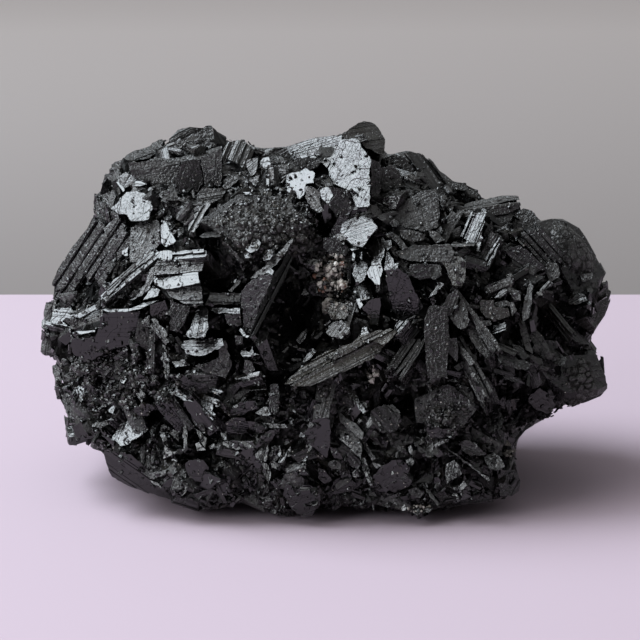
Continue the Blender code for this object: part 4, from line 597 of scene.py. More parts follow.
RIGHT_FACES = (
    Facet(UP_RIGHT, 3.2, -55, 5.0, (
        (16.4, 73.4), (18.0, 73.6), (20.2, 73.4), (22.0, 72.2), (24.0, 69.8), (26.0, 67.6), (27.0, 66.4),
        (25.0, 65.2), (22.4, 64.4), (22.0, 65.6), (20.8, 67.0), (20.0, 68.4), (19.2, 70.4),
        (17.6, 72.0)), 0.7),
    Facet(RAISED, 2.0, 20, 1.6, ((26.0, 67.6), (29.2, 67.4), (30.0, 66.0), (27.0, 66.0), (24.0, 65.0))),
    Facet(RAISED, 1.4, -60, 1.2, ((30.0, 66.2), (31.6, 66.0), (32.4, 64.2), (31.0, 64.2))),
    Facet(FRONT, 2.6, -50, 0.8, (
        (15.2, 73.0), (16.4, 72.8), (18.4, 70.8), (19.6, 68.4), (18.0, 68.0), (16.0, 69.6),
        (14.8, 71.6)), 0.45),
    Facet(RAISED, 3.2, 10, 0.8, ((19.0, 66.0), (23.2, 66.0), (24.0, 64.0), (22.4, 63.6), (19.0, 64.4))),
    Facet(UP, 3.0, 12, 1.2, (
        (28.4, 63.0), (32.0, 64.0), (36.0, 64.8), (39.6, 65.0), (40.0, 64.0), (37.0, 63.6), (33.0, 62.4),
        (30.0, 61.6), (28.4, 62.0))),
    Facet(RAISED, 3.6, 30, 1.6, (
        (34.0, 60.4), (36.0, 62.4), (38.4, 62.8), (38.6, 61.0), (38.0, 59.6), (36.0, 57.0), (35.0, 57.6),
        (34.0, 59.0)), 0.55),
    Facet(DARK, 3.0, 70, 0.8, (
        (38.4, 62.8), (40.0, 63.2), (40.2, 62.0), (38.8, 60.0), (38.4, 61.0)), 0.4),
    Facet(SHINE, 4.4, 67, 5.0, (
        (28.2, 56.4), (30.4, 61.4), (33.6, 61.4), (32.2, 57.0), (32.6, 56.4), (31.6, 53.8), (30.0, 54.8),
        (29.2, 56.0)), 0.1),
    Facet(SHINE, 5.8, 57, 0.5, ((32.8, 52.2), (35.8, 56.6), (36.0, 56.4), (33.2, 51.8)), 0.15),
    Facet(SHINE, 5.8, 63, 0.5, ((33.4, 51.0), (35.6, 55.4), (36.0, 55.2), (33.8, 50.8)), 0.15),
    Facet(DARK, 4.0, 60, 1.0, (
        (32.8, 56.0), (34.4, 57.6), (35.4, 56.8), (33.2, 52.4), (32.2, 51.6)), 0.1),
    Facet(FRONT, 4.0, 80, 0.6, (
        (33.6, 59.0), (34.4, 59.6), (34.8, 56.8), (33.6, 56.4), (32.8, 56.8)), 0.45),
    Facet(RAISED, 3.8, 58, 1.5, (
        (24.0, 56.0), (25.2, 58.4), (27.6, 62.0), (28.4, 61.2), (26.4, 57.6), (25.2, 55.4))),
    Facet(RAISED, 4.0, -50, 0.6, (
        (21.6, 58.0), (23.6, 57.6), (25.0, 56.0), (23.2, 55.4), (22.0, 56.8)), 0.7),
    Facet(RAISED, 2.4, 60, 0.5, (
        (39.2, 61.6), (40.8, 62.4), (42.4, 62.0), (43.6, 60.4), (44.2, 58.8), (44.2, 56.8), (42.0, 56.0),
        (40.0, 56.0), (38.4, 58.0), (38.6, 60.0)), 0.45),
    Facet(RAISED, 4.4, 85, 1.0, (
        (24.6, 52.8), (28.0, 52.8), (29.2, 51.6), (29.0, 48.0), (28.4, 46.8), (26.4, 47.0), (25.4, 50.0),
        (24.4, 51.6)), 0.6, 0.6),
    Facet(UP, 4.4, 0, 0.8, ((26.4, 55.4), (31.2, 55.4), (30.8, 54.8), (26.0, 54.6))),
    Facet(FRONT, 3.4, -35, 2.4, (
        (37.0, 54.0), (40.0, 55.0), (44.0, 51.6), (45.6, 50.0), (42.0, 49.6), (39.0, 51.0)), 0.35),
    Facet(RAISED, 3.6, 0, 0.5, ((41.6, 50.8), (43.2, 50.4), (42.8, 49.0), (41.4, 49.6)), 0.7),
    Facet(SHINE, 3.6, -50, 0.6, ((47.2, 52.8), (48.0, 52.4), (49.2, 50.8), (48.6, 50.6)), 0.25),
    Facet(RAISED, 3.2, 60, 0.8, ((45.6, 51.6), (47.6, 51.2), (48.0, 49.0), (46.0, 47.4), (45.0, 49.6))),
    Facet(RAISED, 2.6, 15, 0.8, ((52.0, 49.0), (54.4, 49.6), (54.4, 48.0), (52.4, 47.6))),
    Facet(FRONT, 4.0, 68, 3.4, (
        (24.4, 42.4), (25.8, 45.2), (27.2, 46.2), (28.0, 45.4), (27.4, 43.0), (26.0, 40.6),
        (24.8, 41.4)), 0.35),
    Facet(RAISED, 4.2, 80, 0.5, (
        (28.2, 44.2), (28.8, 44.0), (30.0, 40.0), (29.2, 38.4), (27.6, 38.4), (26.0, 40.4)), 0.65),
    Facet(RAISED, 5.0, -57, 1.6, (
        (27.8, 45.4), (28.8, 44.4), (32.0, 38.8), (35.2, 34.0), (34.4, 33.2), (31.6, 37.6),
        (29.2, 42.8)), 0.7),
    Facet(RAISED, 4.6, -58, 1.2, (
        (29.6, 38.4), (31.2, 38.0), (32.8, 35.6), (34.2, 33.4), (33.6, 32.0), (31.6, 34.0),
        (30.0, 36.4)), 0.6),
    Facet(HAZE, 4.8, -55, 2.0, (
        (28.0, 34.8), (28.8, 34.4), (31.0, 31.4), (30.0, 30.8), (28.6, 32.8)), 0.45),
    Facet(RAISED, 5.0, -62, 2.6, (
        (28.4, 32.8), (29.2, 31.2), (31.6, 27.0), (33.6, 23.6), (32.0, 23.6), (30.0, 27.0),
        (28.6, 30.0)), 0.7),
    Facet(FRONT, 4.6, 80, 0.6, (
        (25.4, 36.4), (27.4, 36.4), (27.6, 34.0), (27.4, 31.6), (26.0, 33.0), (25.2, 35.0)), 0.5),
    Facet(HAZE, 3.8, 35, 4.0, (
        (34.8, 44.4), (36.4, 46.0), (37.6, 46.0), (37.2, 45.2), (35.6, 44.4)), 0.3),
    Facet(RAISED, 4.0, -35, 1.8, (
        (36.0, 47.4), (38.4, 46.6), (40.0, 45.4), (40.2, 43.8), (39.0, 44.0), (37.6, 45.6),
        (36.0, 46.6)), 0.7),
    Facet(RAISED, 4.0, -20, 1.0, (
        (34.8, 43.4), (37.0, 44.0), (38.6, 43.6), (39.4, 42.0), (38.4, 40.8), (38.0, 42.8),
        (35.2, 42.8)), 0.7),
    Facet(FRONT, 3.4, 0, 0.8, (
        (32.2, 44.0), (34.8, 44.0), (34.8, 42.8), (37.6, 42.4), (38.0, 40.8), (36.0, 40.0), (33.2, 40.4),
        (32.0, 42.0)), 0.4, 0.4),
    Facet(SHINE, 4.4, 20, 4.0, (
        (32.2, 38.4), (33.6, 38.4), (37.0, 39.6), (37.2, 38.0), (34.8, 37.2), (33.6, 37.6)), 0.3),
    Facet(RAISED, 4.0, 12, 1.2, ((31.6, 39.6), (34.0, 40.0), (34.4, 39.2), (32.4, 38.6)), 0.7),
    Facet(HAZE, 4.6, 84, 2.2, (
        (40.8, 44.0), (41.4, 46.0), (42.0, 47.8), (42.4, 47.2), (42.4, 44.0), (41.8, 40.4), (40.6, 39.6),
        (40.4, 41.6)), 0.4),
    Facet(RAISED, 4.4, -72, 1.2, (
        (39.8, 40.0), (41.0, 39.6), (42.0, 36.0), (42.6, 33.2), (41.2, 34.0), (40.2, 37.0)), 0.65),
    Facet(HAZE, 4.0, 50, 3.0, (
        (42.6, 44.4), (44.6, 46.8), (45.8, 47.8), (46.6, 47.4), (45.0, 46.0), (43.4, 44.0)), 0.4),
    Facet(RAISED, 4.2, -50, 1.6, (
        (41.8, 38.0), (43.2, 38.4), (44.4, 36.8), (45.6, 35.0), (46.0, 33.4), (44.6, 33.2), (43.0, 35.0),
        (42.0, 36.4)), 0.65),
    Facet(FRONT, 3.8, -20, 0.6, (
        (44.6, 36.2), (47.2, 35.8), (47.6, 34.4), (46.4, 33.6), (45.6, 34.8)), 0.5),
    Facet(RAISED, 3.2, -40, 3.4, (
        (45.6, 42.2), (47.2, 41.2), (51.0, 38.0), (53.6, 36.0), (54.0, 35.0), (51.0, 35.6),
        (48.0, 38.8)), 0.6),
    Facet(RAISED, 3.0, -10, 1.4, (
        (47.2, 35.8), (50.0, 35.8), (54.0, 34.6), (53.6, 34.0), (50.4, 34.8), (47.6, 34.8)), 0.7),
    Facet(SHINE, 3.6, 25, 5.0, (
        (49.6, 44.0), (50.8, 45.6), (52.8, 45.2), (53.4, 44.0), (51.2, 43.2), (49.8, 43.2)), 0.25),
    Facet(SHINE, 4.8, 24, 0.5, ((50.8, 42.4), (54.0, 43.8), (54.2, 43.2), (51.4, 42.0)), 0.2),
    Facet(SHINE, 4.4, 20, 0.5, ((52.6, 40.8), (54.2, 41.4), (54.4, 40.8), (53.0, 40.4)), 0.2),
    Facet(SHINE, 3.2, 30, 0.5, ((54.2, 43.0), (55.0, 43.2), (55.0, 42.4)), 0.15),
    Facet(RIGHT, 0.8, 60, 0.8, (
        (54.0, 39.6), (57.0, 43.0), (58.0, 44.4), (57.2, 41.0), (54.4, 37.0), (53.6, 35.0),
        (53.2, 37.0)), 0.3),
    Facet(SHINE, 4.6, 30, 1.2, (
        (46.4, 31.6), (47.2, 32.8), (48.0, 33.2), (49.6, 32.2), (49.0, 31.4), (48.4, 30.8),
        (47.0, 31.0)), 0.12),
    Facet(RAISED, 4.2, -25, 1.4, (
        (34.6, 32.4), (36.0, 33.2), (38.0, 33.2), (40.4, 32.0), (42.6, 31.2), (41.6, 30.0), (39.0, 30.4),
        (36.6, 31.0), (34.8, 31.4)), 0.55),
    Facet(RAISED, 4.2, -40, 2.2, (
        (38.4, 35.2), (40.0, 34.8), (42.0, 32.8), (40.8, 32.0), (38.8, 33.6)), 0.5),
    Facet(FRONT, 3.6, -25, 2.4, ((36.0, 29.6), (40.0, 28.4), (41.0, 27.2), (37.0, 28.0)), 0.35),
    Facet(DOWN, 3.4, 30, 0.4, (
        (42.0, 25.0), (44.0, 26.4), (46.0, 25.0), (47.2, 23.0), (45.6, 21.2), (43.2, 22.0),
        (41.6, 23.6)), 0.12),
    Facet(DOWN, 3.0, 5, 0.6, (
        (48.4, 26.0), (51.0, 26.6), (56.0, 26.4), (57.2, 25.4), (55.6, 24.2), (53.0, 23.4), (50.0, 24.0),
        (48.4, 24.8)), 0.15),
)
LOWER_RIGHT_FACES = (
    Facet(RAISED, 4.6, -40, 1.2, (
        (27.6, 27.0), (30.4, 26.4), (30.8, 23.6), (29.2, 24.0), (28.0, 25.2)), 0.65),
    Facet(DOWN, 4.4, -10, 0.6, (
        (21.6, 19.4), (24.0, 18.4), (27.0, 18.0), (27.6, 17.0), (25.0, 16.4), (22.4, 16.4),
        (21.2, 18.0)), 0.15),
    Facet(RAISED, 4.6, 30, 0.8, ((26.6, 19.2), (28.6, 20.2), (29.0, 18.6), (27.0, 18.4))),
    Facet(HAZE, 5.2, -72, 1.4, (
        (32.2, 22.6), (33.6, 23.2), (34.8, 24.0), (36.0, 22.4), (36.8, 20.0), (36.4, 18.6), (34.6, 17.2),
        (33.2, 18.0), (32.4, 20.0)), 0.42),
    Facet(RAISED, 3.6, 50, 1.0, ((37.0, 19.0), (39.0, 20.4), (40.4, 22.4), (39.6, 20.0), (37.6, 18.4))),
    Facet(LOW_SHINE, 4.6, -50, 1.2, (
        (32.8, 12.6), (34.8, 13.6), (36.0, 12.6), (37.0, 10.8), (36.0, 10.0), (34.4, 10.0),
        (33.2, 11.2)), 0.3),
    Facet(LOW_SHINE, 5.0, 80, 2.6, (
        (25.0, 11.0), (26.8, 12.0), (28.0, 10.8), (28.4, 9.2), (26.4, 8.2), (25.4, 7.2),
        (25.0, 9.0)), 0.2),
    Facet(LOW_SHINE, 4.6, 60, 0.8, (
        (27.6, 6.4), (28.8, 8.0), (29.4, 7.0), (28.8, 6.2), (28.0, 5.8)), 0.2),
    Facet(FRONT, 4.0, 80, 0.8, ((28.8, 9.6), (29.4, 8.0), (30.2, 6.0), (28.4, 5.0)), 0.6),
    Facet(LOW_SHINE, 5.2, -37, 0.5, ((24.2, 15.2), (24.6, 15.2), (34.0, 8.0), (33.6, 7.8)), 0.5),
    Facet(LOW_SHINE, 4.8, 20, 0.6, (
        (22.8, 15.0), (24.0, 15.8), (25.8, 16.2), (25.6, 15.6), (24.0, 15.0), (23.0, 14.4)), 0.15),
    Facet(LOW_SHINE, 4.6, -70, 0.6, (
        (17.6, 14.6), (18.2, 15.0), (18.8, 13.4), (18.6, 12.6), (18.0, 13.2)), 0.1),
    Facet(LOW_SHINE, 4.4, 30, 1.0, (
        (17.0, 12.0), (18.4, 12.4), (19.0, 11.6), (18.4, 10.8), (17.2, 11.4)), 0.2),
    Facet(RAISED, 4.2, -30, 2.0, (
        (19.2, 15.2), (21.0, 14.0), (22.8, 12.8), (22.0, 12.4), (19.6, 13.8)), 0.6),
    Facet(LOW_SHINE, 4.6, 45, 0.6, ((30.2, 14.8), (30.8, 15.6), (31.6, 14.6), (30.8, 14.0)), 0.25),
    Facet(FRONT, 4.0, -30, 0.8, (
        (28.0, 15.6), (30.0, 16.0), (32.4, 14.0), (33.0, 13.0), (30.4, 12.8), (28.4, 14.0)), 0.4),
    Facet(LOW_SHINE, 3.4, -30, 1.0, ((36.2, 16.0), (37.4, 16.0), (38.4, 14.8), (37.0, 14.8)), 0.5, 1.7),
    Facet(LOW_SHINE, 3.4, 10, 1.0, (
        (36.4, 13.4), (37.6, 14.0), (39.4, 14.0), (38.8, 13.0), (37.2, 12.6)), 0.5, 1.6),
    Facet(LOW_SHINE, 3.6, 20, 3.0, (
        (16.6, 3.2), (18.4, 2.4), (20.0, 3.2), (20.8, 2.4), (22.6, 2.4), (22.0, 1.6), (19.6, 1.0),
        (17.6, 1.6)), 0.3),
    Facet(FRONT, 4.0, 10, 0.8, ((17.6, 6.0), (19.2, 6.6), (21.0, 5.4), (20.0, 4.4), (18.4, 4.8)), 0.55),
    Facet(RAISED, 4.2, -50, 0.6, ((20.0, 7.6), (20.6, 7.4), (24.0, 3.2), (23.4, 2.8))),
    Facet(DARK, 2.0, 60, 1.0, (
        (35.4, 10.0), (39.0, 10.0), (40.0, 8.0), (40.0, 6.0), (38.4, 4.8), (36.0, 4.8)), 0.3),
)
FACETS = (
    TOP_LEFT_FACES + TOP_FACES + LEFT_FACES + CENTRE_FACES + LOWER_LEFT_FACES + LOWER_MIDDLE_FACES
    + RIGHT_FACES + LOWER_RIGHT_FACES
)

# Ends that have crumbled into grains; tone: 0 black to 1 brown, 2 pale, 3 rusty
Rough = namedtuple("Rough", "u v width height face proud turn tone knobs", defaults=(0, 0.25, 1.0))
ROUGH_ENDS = (
    Rough(-10.6, 58.8, 19.0, 12.4, RAISED, 5.2, 5), Rough(25.0, 20.6, 9.4, 6.4, FRONT, 5.5),
    Rough(52.4, 28.8, 9.4, 10.0, (0.25, -0.9, 0.36), 5.0), Rough(1.4, 24.0, 3.8, 7.0, FRONT, 6.0, 10),
    Rough(-45.0, 31.0, 9.0, 5.0, FRONT, 3.6, 10), Rough(-35.0, 29.6, 8.0, 5.0, RAISED, 4.0),
    Rough(-40.0, 26.0, 7.0, 4.6, FRONT, 4.0, 20),
    Rough(50.8, 54.6, 18.0, 11.0, (0.35, -0.8, 0.45), 5.4, -52, 0.15, 0.3),
    Rough(2.6, 51.0, 4.2, 4.6, RAISED, 6.5, 30, 1.8), Rough(0.6, 47.4, 2.6, 3.0, RAISED, 6.0, 0, 1.2),
    Rough(4.4, 47.6, 3.4, 3.6, RAISED, 6.0, 40, 1.0), Rough(2.0, 44.4, 3.6, 3.0, RAISED, 5.6, 10, 1.7),
)

# Grains: middle and size of the patch in the drawing, how many, their sizes and their tones
Grains = namedtuple("Grains", "u v width height count least most tones")
GRAIN_ZONES = (
    Grains(2.4, 49.0, 7.0, 9.0, 380, 0.25, 1.2, (1, 2, 2, 2.0, 2, 1.9, 2, 3, 0.5, 0, 0.2)),
    Grains(3.6, 42.2, 5.0, 4.8, 60, 0.3, 1.0, (1, 1.6, 1.7, 0.6)),
    Grains(10.6, 29.0, 2.2, 4.2, 24, 0.3, 1.2, (2, 1, 1.8)),
    Grains(37.8, 13.3, 3.8, 1.6, 20, 0.3, 0.8, (2, 1.8)),
    Grains(20.3, 1.8, 5.6, 3.4, 40, 0.3, 0.9, (2, 1.8, 1)),
    Grains(-40.0, 28.0, 26.0, 13.0, 420, 0.4, 1.4, (0, 0, 0.2, 0.4)),
    Grains(-10.6, 58.8, 20.0, 13.0, 420, 0.35, 1.1, (0, 0.2, 0.4, 0.8)),
    Grains(25.0, 20.6, 10.0, 7.0, 120, 0.35, 1.0, (0, 0.2, 0.4)),
    Grains(0.0, 38.0, 106.0, 72.0, 1400, 0.3, 1.0, (0, 0, 0.2, 0.5)),
    Grains(0.0, 38.0, 106.0, 72.0, 360, 0.12, 0.34, (2, 2, 1.7, 1)),
    Grains(-8.0, 16.0, 70.0, 26.0, 160, 0.14, 0.4, (2, 1.8)),
)

# Small bright crystals: middle and size of the patch, how many, and their sizes
Glints = namedtuple("Glints", "u v width height count least most")
GLINT_ZONES = (
    Glints(0.0, 38.0, 106.0, 74.0, 700, 0.3, 1.1), Glints(-30.0, 40.0, 44.0, 56.0, 420, 0.3, 1.5),
    Glints(-10.0, 14.0, 60.0, 26.0, 320, 0.3, 1.7), Glints(-38.0, 27.0, 26.0, 12.0, 160, 0.3, 1.2),
    Glints(2.0, 42.0, 16.0, 20.0, 90, 0.3, 1.2), Glints(-2.0, 66.0, 26.0, 16.0, 110, 0.3, 1.3),
    Glints(50.0, 40.0, 14.0, 26.0, 90, 0.3, 0.9), Glints(2.0, 11.0, 84.0, 20.0, 420, 0.4, 2.2),
    Glints(30.0, 16.0, 24.0, 28.0, 160, 0.4, 2.0), Glints(40.0, 42.0, 32.0, 36.0, 140, 0.3, 1.7),
    Glints(-40.0, 18.0, 26.0, 20.0, 120, 0.4, 2.0),
)

# Prisms of the sides, back and top, set by the part's seeded rule: (how many, length, width)
SCATTER = ((36, (15.0, 27.0), (7.0, 12.0)), (56, (9.0, 17.0), (4.0, 7.5)))

# ---------------------------------------------------------------- detail
CRYSTAL_SEED, FACET_SEED, SHARD_SEED, GRAIN_SEED, GLINT_SEED = 11, 17, 5, 3, 8
NOISE_SEED = 6  # noise_vector starts from the clock's time unless it is given a seed
# Striations; lengths in millimetres and angles in degrees, as everywhere below
STRIP_WIDTH, BACK_STRIP = 0.42, 0.75  # mean width of a striation, in front and behind
BROAD_FACE, BROAD_STRIP = 5.5, 1.1  # a broader face than this is less striated
STRIP_EVENNESS = 0.25  # how far from nothing the narrowest striation is
STEP_HEIGHT = 0.07  # how far one striation stands over the next
STRIP_TILT, STEEP_SHARE, STEEPER = 3.0, 0.2, 5  # a share of the striations is tilted more
GROOVE = 0.03  # width of the groove beside a striation
# Prisms: cracked across into blocks that are each a little off the one before
BREAK_SPACING = 5.0  # mean distance between the cracks across a crystal
RING_GAP = 2.4  # distance between the rings of points along a crystal
BLOCK_LIFT, BLOCK_TILT, BLOCK_SHRINK = 0.06, 1.2, 0.015
CRACK_HALF, CRACK_INSET = (0.02, 0.06), (0.93, 0.985)
POINT_PLAY = 0.02
CAP_SHARES = (0.78, 0.45)  # sizes of the rings that close an end
WAVE_SIZES = (5.0, 2.6, 1.4)
RAGGED_PLAY = 0.2
END_SIZE = 1.06  # an end is a little larger than drawn, as its edge wanders inwards
FACE_DRIFT = (0.12, 3.0)  # how far a slat is off its place, and its turn
# Flat faces
EDGE_STEP, EDGE_PLAY = 0.7, 0.1  # how a face's broken edge wanders
FACET_STRIP, FINE_STRIP, FINE_FROM = 1.0, 0.5, 1.5  # mean striation; fine from this strength of ribs
FACET_LEVEL, FACET_TILT = 0.035, 1.6  # step and tilt between striations, times the ribs
DULL_TILT = 3.0  # times more tilt on faces that do not shine
MOST_TILT = 12.0
RIB_CONTRAST = 0.14  # how much the coarseness differs between striations, times the ribs
FACET_TAPER, FACET_BACK = 0.82, 0.5
# The dark mass
CORE_SEGMENTS, CORE_RINGS = 300, 110
CORE_SINK = 1.4
CORE_CRUMBS = ((0.9, 1.7, (3, 1, 7)), (0.5, 0.8, (0, 0, 0)))  # height, size and shift of the crumbs
POCKET_SIZE, POCKET_DEPTH, POCKET_SHIFT = 7.0, 4.0, (7, 2, 5)
POCKET_START, POCKET_SPAN = 0.05, 0.45
# Crumbled ends: spacing of the points, and sizes of the lumps, the knobs on them and the slow waves
CRUMB_SPACING, LUMP_CELL, KNOB_CELL, SLOW_WAVE = 0.32, 1.8, 0.6, 4.0
LUMP_RISE, KNOB_RISE, SLOW_RISE, GAP_DROP, GAP_WIDTH = 1.4, 0.5, 1.4, 0.7, 0.3
# the crumbs' coarseness, and the painted shade added in the gaps between the grains
CRUMB_DULLNESS, GAP_PAINTED_SHADE = 0.45, 1.4
# Small crystals: (how many, least and greatest length, least and greatest height over the body)
FRONT_SHARDS = (
    (800, (4.0, 8.0), (-2.0, 0.6)), (3000, (1.6, 4.5), (-1.8, 1.3)), (4200, (0.7, 2.2), (-1.2, 1.5)),
)
BACK_SHARDS = (
    (900, (4.0, 8.0), (-1.5, 0.8)), (1900, (1.6, 4.5), (-1.0, 1.4)), (700, (0.8, 2.0), (-0.6, 1.4)),
)
SHARD_TRIES = 8
LOWEST_SHARD = 0.5
KINSHIP_SIZE, KINSHIP = 14.0, 1.3  # how far apart neighbours still lean alike, and how much
SHARD_TURN = 0.5
GLINT_SHARE, GLINT_FADE = 0.08, 0.09  # the share turned to the light, and where (in metres) it fades out
GLINT_TURN = 0.09
LOW_GLINTS, LOW_GLINT_SHARE = 24.0, 0.7  # below this height the bright crystals mostly face the low light
PLATE_RISE = 0.12
PATCH_MARGIN = 1.0
FOOTPRINT_SLACK = 0.25
OUTLINE_SLACK = 0.1
# Black gaps in the front: (u, v, radius, depth)
CAVITIES = (
    (49.0, 40.4, 5.0, 4.0), (-5.0, 42.0, 5.0, 3.5), (18.0, 22.6, 3.4, 5.0), (-2.0, 9.0, 2.4, 4.0),
    (0.6, 69.3, 1.8, 4.0), (-22.5, 48.5, 2.0, 4.0), (28.5, 64.6, 2.4, 4.0), (-46.5, 47.0, 3.0, 3.5),
    (10.0, 24.0, 2.4, 4.0), (38.5, 26.0, 3.0, 3.5), (-19.0, 30.0, 2.6, 3.0), (32.0, 46.0, 3.0, 3.0),
)

# ---------------------------------------------------------------- the drawing and the body's form
AXIS_U = Vector((1.0, 0.0, 0.0))
AXIS_V = Vector((0.0, math.sin(SLOPE), math.cos(SLOPE)))
AXIS_W = Vector((0.0, math.cos(SLOPE), -math.sin(SLOPE)))
SHIFT = Vector((CENTRE_SHIFT[0], CENTRE_SHIFT[1], PLANE_LIFT))


def placed(u, v, w):
    """The point at depth w that the drawing shows at (u, v), in metres."""
    nearness = 1.0 + w / EYE_DISTANCE
    u = EYE_AT[0] + (u - EYE_AT[0]) * nearness
    v = EYE_AT[1] + (v - EYE_AT[1]) * nearness
    return (AXIS_U * u + AXIS_V * v + AXIS_W * w + SHIFT) * MM


def drawn(point):
    """(u, v) where the drawing shows a point."""
    local = point / MM - SHIFT
    nearness = 1.0 + local.dot(AXIS_W) / EYE_DISTANCE
    return (
        EYE_AT[0] + (local.dot(AXIS_U) - EYE_AT[0]) / nearness,
        EYE_AT[1] + (local.dot(AXIS_V) - EYE_AT[1]) / nearness,
    )


EYE = (AXIS_U * EYE_AT[0] + AXIS_V * EYE_AT[1] - AXIS_W * EYE_DISTANCE + SHIFT) * MM


def on_plane(u, v, anchor, face):
    """Where the line of sight through (u, v) meets the plane through the anchor."""
    way = placed(u, v, 0.0) - EYE
    return EYE + way * ((anchor - EYE).dot(face) / way.dot(face))


def polar(u, v):
    u, v = u - BODY_CENTRE[0], v - BODY_CENTRE[1]
    return math.atan2(v, u), math.hypot(u, v)


RIM = sorted(polar(u, v) for u, v in OUTLINE)
RIM_ANGLES = np.array([a for a, _ in RIM])
RIM_REACHES = np.array([r for _, r in RIM])


def reach(angle):
    """Distance from the body's centre to the outline at this angle."""
    return float(np.interp(angle, RIM_ANGLES, RIM_REACHES, period=2 * math.pi))


def back_reach(angle):
    """The reach evened out over a wide fan, for the side of the body that the outline does not show."""
    fan = [math.radians(step) for step in range(-BACK_FAN, BACK_FAN + 1, BACK_FAN // 3)]
    return sum(reach(angle + turn) for turn in fan) / len(fan)


def smooth(t):
    t = min(1.0, max(0.0, t))
    return t * t * (3 - 2 * t)


def dimples(u, v, places, start=0.0):
    """start and what round dips add to it at (u, v), each given by its middle, its radius and its depth."""
    for middle_u, middle_v, radius, depth in places:
        start += depth * math.exp(-((u - middle_u) ** 2 + (v - middle_v) ** 2) / radius**2)
    return start


def rim_depth(v):
    """Depth of the outline at height v: its foot lies in front, and its top leans back."""
    foot = smooth((FOOT_HEIGHT - v) / FOOT_HEIGHT)
    top = smooth((v - TOP_FROM) / TOP_SPAN)
    return TOP_LEAN * top - FOOT_REACH * foot


def pocket(spot):
    """How far the mass between the crystals is sunk at a spot, in millimetres."""
    wide = noise.noise(spot / MM / POCKET_SIZE + Vector(POCKET_SHIFT))
    depth = POCKET_DEPTH * smooth((wide - POCKET_START) / POCKET_SPAN)
    if (spot / MM - SHIFT).dot(AXIS_W) < 0:
        return dimples(*drawn(spot), CAVITIES, depth)
    return depth


def front_depth(u, v):
    """Depth of the body's front at (u, v)."""
    angle, distance = polar(u, v)
    share = min(1.0, distance / max(reach(angle) - BODY_INSET, 1e-6))
    bulge = (1.0 - share**ROUNDNESS) ** (1.0 / FRONT_ROUNDNESS)
    middle = rim_depth(v)
    return middle - (FRONT_DEPTH + FRONT_FOLLOW * middle) * bulge + dimples(u, v, HOLLOWS) * bulge


def body_point(angle, tilt):
    """A point of the body's surface: angle round the drawing; tilt below 0 in front and above it behind."""
    evenness = smooth(tilt / EVEN_FROM)
    edge = reach(angle) * (1 - evenness) + (back_reach(angle) - SHOULDER_ROOM) * evenness
    radius = (edge - BODY_INSET) * max(0.0, math.cos(tilt)) ** SIDE_ROUNDNESS
    u = BODY_CENTRE[0] + radius * math.cos(angle)
    v = BODY_CENTRE[1] + radius * math.sin(angle)
    if tilt <= 0:
        return placed(u, v, front_depth(u, v))
    bulge = max(0.0, math.sin(tilt)) ** BACK_ROUNDNESS
    flow = Vector((math.cos(angle) * math.cos(tilt), math.sin(angle) * math.cos(tilt), math.sin(tilt)))
    lump = noise.noise(flow * (BACK_DEPTH / LUMP_SIZE)) * LUMP_HEIGHT * bulge
    middle = rim_depth(v)
    return placed(u, v, middle + (BACK_DEPTH - BACK_FOLLOW * middle + 2.0 * lump) * bulge)


def outward_at(angle, tilt):
    """The way out of the body at a point of its surface."""
    spot = body_point(angle, tilt)
    along = body_point(angle + 0.05, tilt) - spot
    across = body_point(angle, tilt - 0.05) - spot
    outward = along.cross(across).normalized()
    from_middle = spot - placed(BODY_CENTRE[0], BODY_CENTRE[1], 0.0)
    return outward if outward.dot(from_middle) > 0 else -outward


def inside_outline(point, margin=0.6):
    angle, distance = polar(*drawn(point))
    return distance < reach(angle) - margin


# ---------------------------------------------------------------- where the crystals are
def frame_of(axis, face):
    """Rotation whose Z is the prism's axis, and whose Y is as near to the face's way as it can be."""
    z = axis.normalized()
    y = (face - z * face.dot(z)).normalized()
    return Matrix((y.cross(z), y, z)).transposed().to_4x4()


def lying_frame(prism):
    """Where a prism that shows its side is: matrix, depth, and how much longer and wider than drawn."""
    turn = math.radians(prism.angle)
    face = Vector(prism.face).normalized()
    drawn_axis = AXIS_U * math.cos(turn) + AXIS_V * math.sin(turn)
    away = -drawn_axis.dot(face) / AXIS_W.dot(face)
    axis = drawn_axis + AXIS_W * max(-MOST_LEAN, min(MOST_LEAN, away))
    longer = axis.length
    wider = min(MOST_WIDER, 1.0 / (-AXIS_W.dot(face) * longer))
    depth = max(SHORTEST_DEPTH, 0.8 * prism.width, PROUD_SHARE * prism.proud + EMBED)
    surface = placed(prism.u, prism.v, front_depth(prism.u, prism.v) - PROUD_SHARE * prism.proud)
    middle = surface - face * depth / 2 * MM
    axis = (axis - face * axis.dot(face)).normalized()
    return Matrix.Translation(middle) @ frame_of(axis, face), depth, longer, max(1.0, wider)


def standing_frame(prism):
    """Where a prism that shows its end is: its matrix and its length."""
    face = Vector(prism.face).normalized()
    turn = math.radians(prism.turn)
    side = AXIS_U * math.cos(turn) + AXIS_V * math.sin(turn)
    length = max(2 * SHORTEST_DEPTH, 0.9 * prism.width, PROUD_SHARE * prism.proud + 2 * EMBED)
    surface = placed(prism.u, prism.v, front_depth(prism.u, prism.v) - PROUD_SHARE * prism.proud)
    middle = surface - face * length / 2 * MM
    return Matrix.Translation(middle) @ frame_of(face, face.cross(side)), length


def corners_of(matrix, length, width, depth):
    half = Vector((width, depth, length)) * MM / 2
    signs = [(i, j, k) for i in (-1, 1) for j in (-1, 1) for k in (-1, 1)]
    return [matrix @ Vector((half.x * i, half.y * j, half.z * k)) for i, j, k in signs]


